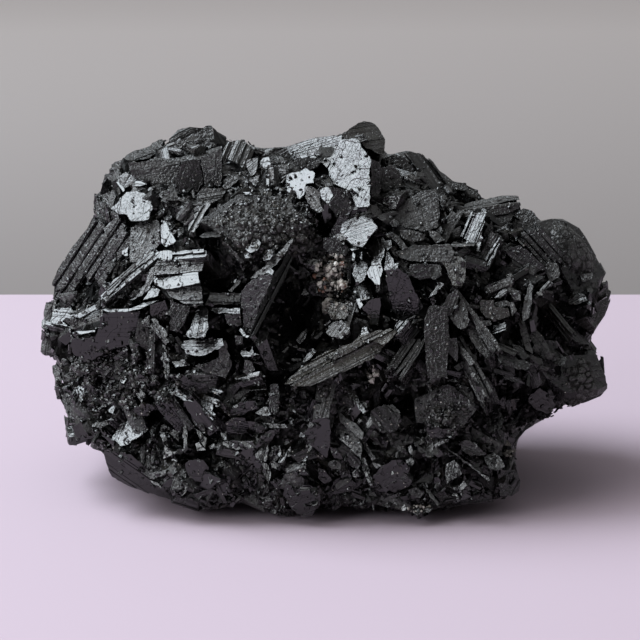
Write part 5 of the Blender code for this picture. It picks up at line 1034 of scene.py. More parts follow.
def scattered(rng):
    """Prisms of the sides and back, each as proud as the outline and the floor let it be."""
    for count, lengths, widths in SCATTER:
        made = 0
        while made < count:
            angle = rng.uniform(-math.pi, math.pi)
            tilt = math.asin(rng.uniform(*SCATTER_TILTS) ** SCATTER_CROWDING)
            spot, outward = body_point(angle, tilt), outward_at(angle, tilt)
            axis = Vector([rng.gauss(0, 1) for _ in range(3)]).normalized()
            axis = (axis - outward * axis.dot(outward) * rng.uniform(0.7, 1.0)).normalized()
            length, width = rng.uniform(*lengths), rng.uniform(*widths)
            depth = width * rng.uniform(0.7, 1.1)
            if spot.z < LOWEST_SCATTER * MM:
                continue
            for step in range(SINK_STEPS):
                sunk = depth * (SINK_STEP * step - SINK_START)
                matrix = Matrix.Translation(spot - outward * sunk * MM) @ frame_of(axis, outward)
                corners = corners_of(matrix, length, width, depth)
                if min(c.z for c in corners) > -MM and all(inside_outline(c) for c in corners):
                    made += 1
                    yield matrix, length, width, depth
                    break


# ---------------------------------------------------------------- meshes
def within_outline(points):
    """The points, with those that the drawing would show past the outline brought back to it."""
    local = points / MM - np.array(SHIFT)
    w = local @ np.array(AXIS_W)
    nearness = 1.0 + w / EYE_DISTANCE
    u = EYE_AT[0] + (local @ np.array(AXIS_U) - EYE_AT[0]) / nearness - BODY_CENTRE[0]
    v = EYE_AT[1] + (local @ np.array(AXIS_V) - EYE_AT[1]) / nearness - BODY_CENTRE[1]
    limit = np.interp(np.arctan2(v, u), RIM_ANGLES, RIM_REACHES, period=2 * math.pi) + OUTLINE_SLACK
    scale = np.minimum(1.0, limit / np.hypot(u, v))
    du, dv = u * (scale - 1) * nearness, v * (scale - 1) * nearness
    return points + (du[:, None] * np.array(AXIS_U) + dv[:, None] * np.array(AXIS_V)) * MM


class Pile:
    """Closed shapes gathered into one mesh, with what the material needs to know at every point."""

    def __init__(self):
        self.points, self.grains, self.tones, self.coarse_and_shade_values = [], [], [], []
        self.quads, self.tris = [], []
        self.count = 0

    def add(self, points, quads, tris, grain, look):
        self.points.append(points)
        self.grains.append(grain)
        self.tones.append(np.full(len(points), look[0]))
        self.coarse_and_shade_values.append(np.full(len(points), look[1]))
        if len(quads):
            self.quads.append(np.asarray(quads) + self.count)
        if len(tris):
            self.tris.append(np.asarray(tris) + self.count)
        self.count += len(points)

    def to_object(self, name, material):
        points = within_outline(np.concatenate(self.points))
        points[:, 2] = np.maximum(points[:, 2], 0.0)
        quads = np.concatenate(self.quads) if self.quads else np.zeros((0, 4), int)
        tris = np.concatenate(self.tris) if self.tris else np.zeros((0, 3), int)
        mesh = bpy.data.meshes.new(name)
        mesh.vertices.add(len(points))
        mesh.vertices.foreach_set("co", points.astype(np.float32).ravel())
        mesh.loops.add(quads.size + tris.size)
        order = np.concatenate([quads.ravel(), tris.ravel()])
        mesh.loops.foreach_set("vertex_index", order.astype(np.int32))
        starts = np.concatenate([np.arange(len(quads)) * 4, quads.size + np.arange(len(tris)) * 3])
        mesh.polygons.add(len(starts))
        mesh.polygons.foreach_set("loop_start", starts.astype(np.int32))
        grain = mesh.attributes.new("grain", "FLOAT_VECTOR", "POINT")
        grain.data.foreach_set("vector", np.concatenate(self.grains).astype(np.float32).ravel())
        for key, values in (("tone", self.tones), ("coarse", self.coarse_and_shade_values)):
            made = mesh.attributes.new(key, "FLOAT", "POINT")
            made.data.foreach_set("value", np.concatenate(values).astype(np.float32))
        mesh.update(calc_edges=True)
        mesh.validate()
        mesh.shade_flat()
        obj = bpy.data.objects.new(name, mesh)
        bpy.context.scene.collection.objects.link(obj)
        mesh.materials.append(material)
        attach(obj, BODY)
        print(f"{name}: {len(quads) * 2 + len(tris)} triangles")
        return obj


def moved(points, matrix):
    """Points in millimetres in a crystal's own axes, carried to the row frame in metres."""
    m = np.array(matrix)
    return points * MM @ m[:3, :3].T + m[:3, 3]


def wall(low, high, count, turned=False):
    """The quads between two closed rings of points; low and high are the rings' first points."""
    k = np.arange(count)
    after = (k + 1) % count
    if turned:
        return np.stack([low + k, high + k, high + after, low + after], axis=1)
    return np.stack([low + k, low + after, high + after, high + k], axis=1)


def fan(first, tip, count, turned=False):
    """The triangles between a closed ring of points, given by its first point, and a tip."""
    k = np.arange(count)
    after = (k + 1) % count
    near, far = (after, k) if turned else (k, after)
    return np.stack([first + near, first + far, np.full(count, tip)], axis=1)


def block_section(width, depth, rng):
    """A broken block: a broad face on top with a bevel down each side of it. Starts at the right foot."""
    x, y = width / 2, depth / 2
    right_in, left_in = (rng.uniform(0.02, 0.14) * width for _ in range(2))
    right_down, left_down = (rng.uniform(0.12, 0.5) * depth for _ in range(2))
    top = [(x, y - right_down), (x - right_in, y), (left_in - x, y), (-x, y - left_down)]
    return [(x, -y)] + top + [(-x, -y)]


def ragged_section(width, depth, rng):
    """An uneven many-sided outline for a face that is broken all round."""
    corners = []
    sides = rng.choice((5, 6, 6, 7))
    start = rng.random()
    for k in range(sides):
        size = 1.08 + rng.uniform(-RAGGED_PLAY, RAGGED_PLAY)
        turn = 2 * math.pi * (k + start + rng.uniform(-0.28, 0.28)) / sides
        corners.append((math.cos(turn) * size * width / 2, math.sin(turn) * size * depth / 2))
    return corners


def striated(section, rng, strength, strip):
    """The section's sides split into striations, each a step over or under the next and a little tilted."""
    profile, across = [], []
    run = 0.0
    for (x0, y0), (x1, y1) in zip(section, section[1:] + section[:1]):
        side = math.hypot(x1 - x0, y1 - y0)
        dx, dy = (x1 - x0) / side, (y1 - y0) / side
        nx, ny = dy, -dx
        if y0 < 0 and y1 < 0 and abs(dy) < 0.2:
            profile.append((x0, y0))
            across.append(run)
            run += side
            continue
        strips = max(1, round(side / strip * rng.uniform(0.75, 1.1)))
        weights = [rng.random() ** 2 + STRIP_EVENNESS for _ in range(strips)]
        total = sum(weights)
        level, start = 0.0, 0.0
        for weight in weights:
            end = start + side * weight / total
            level = 0.5 * level + rng.gauss(0, STEP_HEIGHT) * strength
            tilt = STRIP_TILT if rng.random() < 1 - STEEP_SHARE else STEEPER * STRIP_TILT
            rise = math.tan(math.radians(rng.gauss(0, tilt)) * strength) * (end - start) / 2
            inset = min(GROOVE, (end - start) * 0.2)
            for distance, height in ((start + inset, level - rise), (end - inset, level + rise)):
                profile.append((x0 + dx * distance + nx * height, y0 + dy * distance + ny * height))
                across.append(run + distance)
            start = end
        run += side
    return np.array(profile), np.array(across)


def waved(points, rng, amount):
    """The points moved by a few slow waves, so that no face is quite flat."""
    moved_points = points.copy()
    for size in WAVE_SIZES:
        way = np.array([rng.gauss(0, 1) for _ in range(3)])
        way *= 2 * math.pi / size / np.linalg.norm(way)
        push = np.array([rng.gauss(0, 1) for _ in range(3)])
        push *= amount * size / WAVE_SIZES[0] / np.linalg.norm(push)
        moved_points += np.sin(points @ way + rng.uniform(0, 6))[:, None] * push
    return moved_points


def chipped(points, half, rng, chips, depth):
    """The points with corners broken off: what lies past a chip's plane is brought back to it."""
    for _ in range(chips):
        side, end = rng.choice((-1, 1)), rng.choice((-1, 1))
        top = rng.choice((1, 1, 0.3))
        x, y, z = side * rng.uniform(0.1, 1.0), top * rng.uniform(0.0, 0.8), end * rng.uniform(0.3, 1.2)
        way = np.array([x, y, z])
        way /= np.linalg.norm(way)
        corner = np.array([side, 1, end]) * half
        cut = rng.uniform(*depth) * min(half[0], half[2]) * 2
        past = np.maximum(0.0, points @ way - (corner @ way - cut))
        points = points - past[:, None] * way
    return points


def crystal_rings(profile, length, cracks, taper, strength, rng):
    """The rings of points along a crystal and how far along it each is, with a narrow one in each crack."""
    rings, places = [], []
    start = 0.0
    for number, z in enumerate(cracks + [length]):
        steps = max(1, round((z - start) / RING_GAP))
        span = [start + (z - start) * k / steps for k in range(steps + 1)]
        lift = rng.gauss(0, BLOCK_LIFT) * strength
        pitch, roll = (math.tan(math.radians(rng.gauss(0, BLOCK_TILT))) * strength for _ in range(2))
        shrink = 1.0 + rng.gauss(0, BLOCK_SHRINK)
        middle = (span[0] + span[-1]) / 2
        gap = rng.uniform(*CRACK_HALF)
        jitter = np.array([rng.gauss(0, POINT_PLAY) for _ in profile]) * strength
        for k, here in enumerate(span):
            if number > 0 and k == 0:
                here += gap
            if number < len(cracks) and k == len(span) - 1:
                here -= gap
            ring = profile * (shrink * (1 + taper * (here / length - 0.5)))
            ring[:, 1] += lift + pitch * (here - middle) + roll * profile[:, 0] + jitter
            rings.append(ring)
            places.append(here)
        if number < len(cracks):
            rings.append(profile * rng.uniform(*CRACK_INSET))
            places.append(z)
        start = z
    return rings, places


def slanted(rings, places, length, slants):
    """The rings as points in the crystal's own axes, the end ones slanted."""
    rows = []
    for ring, z in zip(rings, places):
        share = z / length
        lean = (2 * share - 1) ** 2
        slant_x, slant_y = (slants[0][k] * (1 - share) + slants[1][k] * share for k in (0, 1))
        height = z - length / 2 + (slant_x * ring[:, 0] + slant_y * ring[:, 1]) * lean
        rows.append(np.column_stack([ring, height]))
    return np.concatenate(rows)


def rough_ends(points, count, rough, rng):
    """What closes a crystal at both ends: rings drawn in towards a tip, and their faces."""
    quads, tris, caps = [], [], []
    base = len(points)
    for end, first in ((-1, 0), (1, base - count)):
        outer = points[first : first + count]
        middle = outer.mean(axis=0)
        before = first
        phase = rng.uniform(0, 50)
        for share in CAP_SHARES:
            inner = middle + (outer - middle) * share
            bumps = [noise.cell(Vector((p[0] * 0.8 + phase, p[1] * 0.8, 0.0))) * 2 - 1 for p in inner]
            inner[:, 2] += rough * np.array(bumps)
            here = base + len(caps) * count
            caps.append(inner)
            quads.append(wall(before, here, count, turned=end < 0))
            before = here
        tip = base + 2 * len(CAP_SHARES) * count + (0 if end < 0 else 1)
        tris.append(fan(before, tip, count, turned=end < 0))
    tips = np.array([caps[1].mean(axis=0), caps[3].mean(axis=0)])
    tips[:, 2] += [rough * rng.uniform(-1, 1) for _ in range(2)]
    return np.concatenate(caps + [tips]), quads, tris


def crystal(matrix, length, section, rng, pile, look, strength=1.0, end_rough=0.5, cracked=True,
            strip=STRIP_WIDTH, chips=(2, 5), chip_depth=(0.04, 0.3), wave=0.035, slant=0.3, taper=None):
    """A striated prism, cracked across in places, with rough ends and broken corners."""
    profile, across = striated(section, rng, strength, strip)
    count = len(profile)
    half = np.array([abs(profile[:, 0]).max(), profile[:, 1].max(), length / 2])
    breaks = rng.random() * length / BREAK_SPACING if cracked else 0
    cracks = sorted(rng.uniform(0.1, 0.9) * length for _ in range(round(breaks)))
    slants = [(rng.uniform(-slant, slant), rng.uniform(-slant, slant)) for _ in range(2)]
    taper = rng.uniform(-0.14, 0.14) if taper is None else taper
    rings, places = crystal_rings(profile, length, cracks, taper, strength, rng)
    points = slanted(rings, places, length, slants)
    offset = rng.uniform(0, 500)
    side_grain = [np.column_stack([across, np.full(count, z), np.full(count, offset)]) for z in places]
    sides = [wall(r * count, (r + 1) * count, count) for r in range(len(rings) - 1)]
    rough = end_rough * min(2 * half[:2].max(), 4.0) * 0.12
    ends, end_quads, end_tris = rough_ends(points, count, rough, rng)
    end_grain = np.column_stack([ends[:, 0] + 40, ends[:, 1] + 40, np.full(len(ends), offset)])
    points = np.concatenate([points, ends])
    points = chipped(points, half, rng, rng.randint(*chips), chip_depth)
    points = waved(points, rng, wave)
    grain = np.concatenate(side_grain + [end_grain])
    quads = np.concatenate(sides + end_quads)
    pile.add(moved(points, matrix), quads, np.concatenate(end_tris), grain, look)


def shard(matrix, length, width, depth, rng, pile, look):
    """A small broken crystal with a few flat sides and slanted ends."""
    sides = rng.choice((4, 5, 6, 6))
    turns = sorted((k + rng.uniform(-0.35, 0.35)) / sides * 2 * math.pi for k in range(sides))
    section = np.array([(math.cos(t) * width / 2, math.sin(t) * depth / 2) for t in turns])
    slants = [(rng.uniform(-0.8, 0.8), rng.uniform(-0.8, 0.8)) for _ in range(2)]
    scales = rng.uniform(0.55, 1.0), rng.uniform(0.8, 1.0)
    rows = []
    for share, scale, slant in zip((0.0, 1.0), scales, slants):
        ring = section * scale
        z = (share - 0.5) * length + ring @ np.array(slant)
        rows.append(np.column_stack([ring, z]))
    low = rows[0].mean(axis=0) - (0, 0, 0.1 * width)
    high = rows[1].mean(axis=0) + (0, 0, 0.1 * width)
    points = np.concatenate([rows[0], rows[1], [low, high]])
    half = np.array([width / 2, depth / 2, length / 2])
    points = chipped(points, half, rng, rng.randint(0, 2), (0.05, 0.25))
    tris = [fan(0, 2 * sides, sides, turned=True), fan(sides, 2 * sides + 1, sides)]
    k = np.arange(sides)
    run = np.concatenate([k, k, [0, 0]]) * math.pi * width / sides
    grain = np.column_stack([run, points[:, 2], np.full(len(points), rng.uniform(0, 500))])
    pile.add(moved(points, matrix), wall(0, sides, sides), np.concatenate(tris), grain, look)


# ---------------------------------------------------------------- materials
def new_material(name):
    material = bpy.data.materials.new(name)
    material.use_nodes = True
    tree = material.node_tree
    return material, tree, tree.nodes["Principled BSDF"]


def attribute(tree, name):
    made = tree.nodes.new("ShaderNodeAttribute")
    made.attribute_name = name
    return made


def stretched(tree, vector, scale):
    made = tree.nodes.new("ShaderNodeVectorMath")
    made.operation = "MULTIPLY"
    tree.links.new(vector, made.inputs[0])
    made.inputs[1].default_value = scale
    return made.outputs[0]


def noise_of(tree, vector, scale, detail=2.0, rough=0.5):
    made = tree.nodes.new("ShaderNodeTexNoise")
    tree.links.new(vector, made.inputs["Vector"])
    made.inputs["Scale"].default_value = scale
    made.inputs["Detail"].default_value = detail
    made.inputs["Roughness"].default_value = rough
    return made.outputs["Fac"]


def spread(tree, value, low, high, to_low, to_high):
    made = tree.nodes.new("ShaderNodeMapRange")
    tree.links.new(value, made.inputs["Value"])
    for key, number in (("From Min", low), ("From Max", high), ("To Min", to_low), ("To Max", to_high)):
        made.inputs[key].default_value = number
    return made.outputs["Result"]


def blended(tree, share, first, second):
    made = tree.nodes.new("ShaderNodeMix")
    made.data_type = "RGBA"
    tree.links.new(share, made.inputs["Factor"])
    for socket, value in ((made.inputs[6], first), (made.inputs[7], second)):
        if hasattr(value, "is_output"):
            tree.links.new(value, socket)
        else:
            socket.default_value = value
    return made.outputs[2]


def bumped(tree, height, strength, distance, before):
    made = tree.nodes.new("ShaderNodeBump")
    made.inputs["Strength"].default_value = strength
    made.inputs["Distance"].default_value = distance
    tree.links.new(height, made.inputs["Height"])
    tree.links.new(before, made.inputs["Normal"])
    return made.outputs["Normal"]


def times(tree, first, second):
    made = tree.nodes.new("ShaderNodeMath")
    made.operation = "MULTIPLY"
    tree.links.new(first, made.inputs[0])
    if hasattr(second, "is_output"):
        tree.links.new(second, made.inputs[1])
    else:
        made.inputs[1].default_value = second
    return made.outputs[0]


def plus(tree, first, second):
    made = tree.nodes.new("ShaderNodeMath")
    tree.links.new(first, made.inputs[0])
    tree.links.new(second, made.inputs[1])
    return made.outputs[0]


def hairlines(tree, place, scale, width):
    """A web of thin cracks: 0 in a crack, 1 away from it."""
    wobble = tree.nodes.new("ShaderNodeTexNoise")
    tree.links.new(place, wobble.inputs["Vector"])
    wobble.inputs["Scale"].default_value = scale * 1.7
    add = tree.nodes.new("ShaderNodeVectorMath")
    add.operation = "MULTIPLY_ADD"
    tree.links.new(wobble.outputs["Color"], add.inputs[0])
    add.inputs[1].default_value = (0.9 / scale,) * 3
    tree.links.new(place, add.inputs[2])
    cells = tree.nodes.new("ShaderNodeTexVoronoi")
    cells.feature = "DISTANCE_TO_EDGE"
    tree.links.new(add.outputs[0], cells.inputs["Vector"])
    cells.inputs["Scale"].default_value = scale
    return spread(tree, cells.outputs["Distance"], 0.0, width * scale, 0.0, 1.0)


# Colours of the stone, and the noise that its surface is made of (per metre, or per millimetre of grain)
BLACK, BROWN = (0.0006, 0.0006, 0.0008, 1.0), (0.036, 0.033, 0.026, 1.0)
PALE, RUSTY = (0.42, 0.39, 0.35, 1.0), (0.22, 0.12, 0.085, 1.0)
FILM, DUST = (0.045, 0.044, 0.042, 1.0), (0.13, 0.125, 0.12, 1.0)
FINE_LINES, WIDE_LINES = (4.2, 0.22, 1.0), (1.5, 0.12, 1.0)  # across, along, from crystal to crystal
CRUMB_SCALE, PIT_SCALE, SPECK_SCALE, PATCH_SCALE = 1300.0, 2100.0, 2600.0, 170.0
CRACK_SCALE, CRACK_WIDTH = 140.0, 0.00018
SHINIEST, DULLEST = 0.11, 0.46  # roughness
EDGE_RADIUS, EDGE_SAMPLES = 0.00012, 3
STONE_IOR = 1.63


def stone_colour(tree, place, patches, tone, coarse, roughly):
    """Black to brown, pale or rusty by tone, with a thin film and dust; over 1 the coarseness value is
    painted shade deep in a gap, with film and dust taken out to darken it.
    """
    specks = noise_of(tree, place, SPECK_SCALE, 2.0, 0.5)
    # painted shade: deep in a gap (value over 1) the film and dust are cut to 0.08, which darkens it
    outside_painted_shade = spread(tree, coarse, 1.0, 1.6, 1.0, 0.08)
    film = times(tree, spread(tree, roughly, 0.35, 0.8, 0.0, 0.7), outside_painted_shade)
    dust = times(
        tree, spread(tree, specks, 0.56, 0.72, 0.0, 0.55), spread(tree, patches, 0.42, 0.66, 0.05, 1.0)
    )
    dust = times(tree, times(tree, dust, spread(tree, roughly, 0.0, 1.0, 0.1, 1.3)), outside_painted_shade)
    colour = blended(tree, tone, BLACK, BROWN)
    colour = blended(tree, film, colour, FILM)
    colour = blended(tree, spread(tree, tone, 1.4, 2.0, 0.0, 1.0), colour, PALE)
    colour = blended(tree, spread(tree, tone, 2.4, 3.0, 0.0, 1.0), colour, RUSTY)
    return blended(tree, dust, colour, DUST)


def stone_relief(tree, place, grain, coarse, roughly):
    """Softened edges, lines along the crystals, crumbs and pits where it is rough, and thin cracks."""
    fine = noise_of(tree, stretched(tree, grain, FINE_LINES), 1.0, 2.0, 0.6)
    wide = noise_of(tree, stretched(tree, grain, WIDE_LINES), 1.0, 2.0, 0.5)
    crumbs = noise_of(tree, place, CRUMB_SCALE, 2.0, 0.6)
    pits = spread(tree, noise_of(tree, place, PIT_SCALE, 1.0, 0.5), 0.36, 0.50, 0.0, 1.0)
    lines = times(tree, fine, spread(tree, coarse, 0.0, 0.6, 0.45, 1.5))
    broken = plus(tree, crumbs, times(tree, pits, 0.45))
    broken = times(tree, broken, spread(tree, roughly, 0.0, 1.0, 0.05, 1.0))
    edges = tree.nodes.new("ShaderNodeBevel")
    edges.samples = EDGE_SAMPLES
    edges.inputs["Radius"].default_value = EDGE_RADIUS
    normal = bumped(tree, wide, 0.8, 0.00016, edges.outputs["Normal"])
    normal = bumped(tree, lines, 1.0, 0.00010, normal)
    normal = bumped(tree, broken, 1.0, 0.00038, normal)
    return bumped(tree, hairlines(tree, place, CRACK_SCALE, CRACK_WIDTH), 0.5, 0.00012, normal)


def tourmaline():
    """The stone: its meshes say how coarse and how dark it is, where shade is painted into its gaps, and
    which way its grain runs.
    """
    material, tree, shader = new_material("black_tourmaline")
    grain = attribute(tree, "grain").outputs["Vector"]
    tone = attribute(tree, "tone").outputs["Fac"]
    coarse = attribute(tree, "coarse").outputs["Fac"]
    place = tree.nodes.new("ShaderNodeTexCoord").outputs["Object"]
    patches = noise_of(tree, place, PATCH_SCALE, 3.0, 0.6)
    roughly = times(tree, coarse, spread(tree, patches, 0.35, 0.62, 0.5, 1.15))
    for key, output in (
        ("Base Color", stone_colour(tree, place, patches, tone, coarse, roughly)),
        ("Roughness", spread(tree, roughly, 0.0, 1.0, SHINIEST, DULLEST)),
        # painted shade: the reflection is cut to almost nothing where the value is over 1, deep in a gap
        ("Specular IOR Level", spread(tree, coarse, 1.0, 2.0, 0.5, 0.04)),
        ("Normal", stone_relief(tree, place, grain, coarse, roughly)),
    ):
        tree.links.new(output, shader.inputs[key])
    shader.inputs["IOR"].default_value = STONE_IOR
    return material


# ---------------------------------------------------------------- the specimen
def split_width(width, slats, rng):
    """Widths and middles of the ribs that a crystal's width is split into."""
    shares = [rng.uniform(0.7, 1.3) for _ in range(slats)]
    total = sum(shares)
    edge = -width / 2
    for share in shares:
        rib = width * share / total
        yield edge + rib / 2, rib
        edge += rib


COARSENESS = {SHINE: 0.03, LOW_SHINE: 0.1, HAZE: 0.25, DOWN: 0.08, FRONT: 0.6, RAISED: 0.6, UP: 0.7}
USUAL_COARSENESS = 0.45
CALMNESS = {SHINE: 0.5, DOWN: 0.6}
FRONT_PILES = 4


def coarseness(prism, rng):
    usual = COARSENESS.get(prism.face, USUAL_COARSENESS)
    return max(0.0, usual + rng.gauss(0, 0.03 + usual * 0.2))


def darkness(rng, most):
    """A tone near black, now and then lighter."""
    return rng.random() ** 3 * most


def pile_at(u, piles):
    """The pile that holds what lies at u: the front is shared out from left to right."""
    return piles[min(len(piles) - 1, int((u - SPLIT_FROM) / SPLIT_SPAN * len(piles)))]


def box_of(corners):
    us, vs = zip(*corners)
    return min(us), max(us), min(vs), max(vs)


FACET_BOXES = np.array([box_of(f.corners) for f in FACETS])


def encloses(corners, u, v):
    inside = False
    for (u0, v0), (u1, v1) in zip(corners, corners[1:] + corners[:1]):
        if (v0 > v) != (v1 > v) and u < u0 + (u1 - u0) * (v - v0) / (v1 - v0):
            inside = not inside
    return inside


def under_facet(u, v):
    left, right, low, high = FACET_BOXES.T
    near = (left < u) & (u < right) & (low < v) & (v < high)
    return any(encloses(FACETS[k].corners, u, v) for k in np.flatnonzero(near))


def broken_edge(corners, rng):
    """The corners with more points between them, each a little off the straight side."""
    points = []
    for (u0, v0), (u1, v1) in zip(corners, corners[1:] + corners[:1]):
        points.append((u0, v0))
        steps = round(math.hypot(u1 - u0, v1 - v0) / EDGE_STEP)
        for k in range(1, steps):
            off_u, off_v = rng.gauss(0, EDGE_PLAY), rng.gauss(0, EDGE_PLAY)
            points.append((u0 + (u1 - u0) * k / steps + off_u, v0 + (v1 - v0) * k / steps + off_v))
    return points


def clipped(points, low, high):
    """The part of a flat outline (a, b) with b between low and high."""
    for sign, limit in ((1, low), (-1, -high)):
        kept = []
        for (a0, b0), (a1, b1) in zip(points, points[1:] + points[:1]):
            over0, over1 = sign * b0 - limit, sign * b1 - limit
            if over0 >= 0:
                kept.append((a0, b0))
            if over0 * over1 < 0:
                share = over0 / (over0 - over1)
                kept.append((a0 + (a1 - a0) * share, b0 + (b1 - b0) * share))
        points = kept
    return points


def turning(p, q, r):
    return (q[0] - p[0]) * (r[1] - p[1]) - (q[1] - p[1]) * (r[0] - p[0])


def strips_of(flat, item, rng):
    """A face's outline (a, b) cut into striations: each one's points, their heights, dullness and phase."""
    usual = COARSENESS.get(item.face, USUAL_COARSENESS) if item.coarse is None else item.coarse
    tilt = FACET_TILT * item.ribs * (1.0 if item.face in (SHINE, HAZE) else DULL_TILT)
    strip = FINE_STRIP if item.ribs >= FINE_FROM else FACET_STRIP
    phase = rng.uniform(0, 500)
    edge, last = min(b for _, b in flat), max(b for _, b in flat)
    level = 0.0
    while edge < last:
        end = edge + strip * rng.uniform(0.5, 1.6)
        level = 0.5 * level + rng.gauss(0, FACET_LEVEL) * item.ribs
        rise = math.tan(math.radians(rng.gauss(0, min(tilt, MOST_TILT))))
        dull = usual * (1 + rng.gauss(0, RIB_CONTRAST) * item.ribs) + abs(rng.gauss(0, 0.02))
        piece = clipped(flat, edge, end)
        if len(piece) > 2:
            heights = [level + rise * (b - (edge + end) / 2) for _, b in piece]
            yield piece, heights, max(0.0, dull), phase
        edge = end


def facet(item, rng, pile):
    """A flat broken face, split into striations, on a block that runs back along the line of sight."""
    face = Vector(item.face).normalized()
    corners = broken_edge(item.corners, rng)
    u, v = (sum(c[k] for c in corners) / len(corners) for k in (0, 1))
    anchor = placed(u, v, front_depth(u, v) - PROUD_SHARE * item.proud)
    turn = math.radians(item.lines)
    along = (on_plane(u + math.cos(turn), v + math.sin(turn), anchor, face) - anchor).normalized()
    across = face.cross(along)
    offsets = [(on_plane(cu, cv, anchor, face) - anchor) / MM for cu, cv in corners]
    flat = [(offset.dot(along), offset.dot(across)) for offset in offsets]
    if sum(turning((0, 0), p, q) for p, q in zip(flat, flat[1:] + flat[:1])) < 0:
        flat.reverse()
    depth = EMBED + PROUD_SHARE * item.proud + FACET_BACK * max(math.hypot(a, b) for a, b in flat)
    farther = 1 + depth * MM / (anchor - EYE).length
    eye, back = np.array(EYE), np.array(EYE + (anchor - EYE) * farther)
    tone = item.tone + darkness(rng, 0.15)
    for piece, heights, dull, phase in strips_of(flat, item, rng):
        spots = [(along * a + across * b + face * h) * MM for (a, b), h in zip(piece, heights)]
        top = np.array([anchor + spot for spot in spots])
        bottom = back + (eye + (top - eye) * farther - back) * FACET_TAPER
        count = len(piece)
        tris = []
        for p, q, r in tessellate_polygon([[Vector((a, b, 0)) for a, b in piece]]):
            if turning(piece[p], piece[q], piece[r]) < 0:
                q, r = r, q
            tris += [(p, q, r), (p + count, r + count, q + count)]
        grain = np.array([(b, a, phase) for a, b in piece] * 2)
        sides = wall(0, count, count, turned=True)
        pile.add(np.concatenate([top, bottom]), sides, tris, grain, (tone, dull))


def lying_crystal(prism, rng, pile):
    matrix, depth, longer, wider = lying_frame(prism)
    look = (darkness(rng, 0.25), coarseness(prism, rng))
    ribbed = prism.slats > 1
    calm = CALMNESS.get(prism.face, 1.0)
    drift, turn = FACE_DRIFT
    for middle, rib in split_width(prism.width * wider, prism.slats, rng):
        shifted = matrix @ Matrix.Translation(Vector((middle, rng.gauss(0, drift), 0)) * MM)
        if ribbed:
            shifted = shifted @ Matrix.Rotation(math.radians(rng.gauss(0, turn) * calm), 4, "Z")
        section = block_section(rib * (0.95 if ribbed else 1.0), depth, rng)
        length = prism.length * longer * (1.0 + (rng.uniform(-0.15, 0.06) if ribbed else 0.0))
        crystal(
            shifted, length, section, rng, pile, look, calm,
            strip=BROAD_STRIP if rib > BROAD_FACE and calm == 1.0 else STRIP_WIDTH,
            chips=(1, 2) if ribbed else (6, 9) if prism.face == DOWN else (2, 5),
            chip_depth=(0.03, 0.14) if prism.face == SHINE else (0.05, 0.32),
            wave=0.035 * calm,
        )


def standing_crystal(prism, rng, pile):
    matrix, length = standing_frame(prism)
    section = ragged_section(prism.width * END_SIZE, prism.height * END_SIZE, rng)
    look = (rng.random() * 0.1, coarseness(prism, rng))
    crystal(
        matrix, length, section, rng, pile, look, 0.8, 0.05, False,
        chips=(0, 0), wave=0.01, slant=0.02, taper=0.0,
    )


def front_crystals(rng, facet_rng, piles):
    for make, prisms in ((lying_crystal, LYING), (standing_crystal, STANDING), (rough_end, ROUGH_ENDS)):
        for prism in prisms:
            make(prism, rng, pile_at(prism.u, piles))
    for item in FACETS:
        facet(item, facet_rng, pile_at(item.corners[0][0], piles))


def crumbled(points, knobs, size, rng):
    """Pushes a dome's points in and out into grown-together grains; returns how deep in a gap each is."""
    shift = Vector([rng.uniform(0, 90) for _ in range(3)])
    gaps = []
    for row in points:
        spot = Vector(row)
        lump = noise.voronoi(spot / LUMP_CELL + shift)[0]
        gaps.append(1.0 - smooth((lump[1] - lump[0]) / GAP_WIDTH))
        knob = lump[0] * LUMP_RISE + noise.voronoi(spot / KNOB_CELL + shift)[0][0] * KNOB_RISE
        slow = noise.noise(spot / SLOW_WAVE + shift) * SLOW_RISE
        row *= 1.0 + (slow + 0.6 - 1.0 * knob - GAP_DROP * gaps[-1]) * knobs / size
    return np.array(gaps)


def rough_end(prism, rng, pile):
    """A crystal's crumbled end: a low dome of grown-together grains."""
    matrix, length = standing_frame(prism)
    half = np.array([prism.width, prism.height, length]) / 2
    around = max(24, int(math.pi * max(prism.width, prism.height) / CRUMB_SPACING))
    rings = around // 4
    turns = np.arange(around) * 2 * math.pi / around
    rows = []
    for ring in range(1, rings + 1):
        lean = math.pi / 2 * ring / rings
        out, up = math.sin(lean) ** 0.8, math.cos(lean)
        rows.append(np.column_stack([np.cos(turns) * out, np.sin(turns) * out, np.full(around, up)]))
    rows.append(np.column_stack([np.cos(turns), np.sin(turns), np.full(around, -0.6)]))
    points = np.concatenate(rows + [[[0, 0, 1.0], [0, 0, -0.6]]]) * half
    gaps = crumbled(points, prism.knobs, np.linalg.norm(half), rng)
    quads = [wall(r * around, (r + 1) * around, around, turned=True) for r in range(rings)]
    tris = [fan(0, len(points) - 2, around), fan(rings * around, len(points) - 1, around, turned=True)]
    # painted shade in the gaps between the grains
    look = (prism.tone, CRUMB_DULLNESS + GAP_PAINTED_SHADE * gaps)
    pile.add(moved(points, matrix), np.concatenate(quads), np.concatenate(tris), points, look)


GOLDEN = (1 + math.sqrt(5)) / 2
GRAIN_POINTS = np.array([
    (-1, GOLDEN, 0), (1, GOLDEN, 0), (-1, -GOLDEN, 0), (1, -GOLDEN, 0), (0, -1, GOLDEN), (0, 1, GOLDEN),
    (0, -1, -GOLDEN), (0, 1, -GOLDEN), (GOLDEN, 0, -1), (GOLDEN, 0, 1), (-GOLDEN, 0, -1), (-GOLDEN, 0, 1),
]) / math.hypot(1, GOLDEN)
GRAIN_FACES = np.array([
    (0, 11, 5), (0, 5, 1), (0, 1, 7), (0, 7, 10), (0, 10, 11), (1, 5, 9), (5, 11, 4), (11, 10, 2),
    (10, 7, 6), (7, 1, 8), (3, 9, 4), (3, 4, 2), (3, 2, 6), (3, 6, 8), (3, 8, 9), (4, 9, 5), (2, 4, 11),
    (6, 2, 10), (8, 6, 7), (9, 8, 1),
])


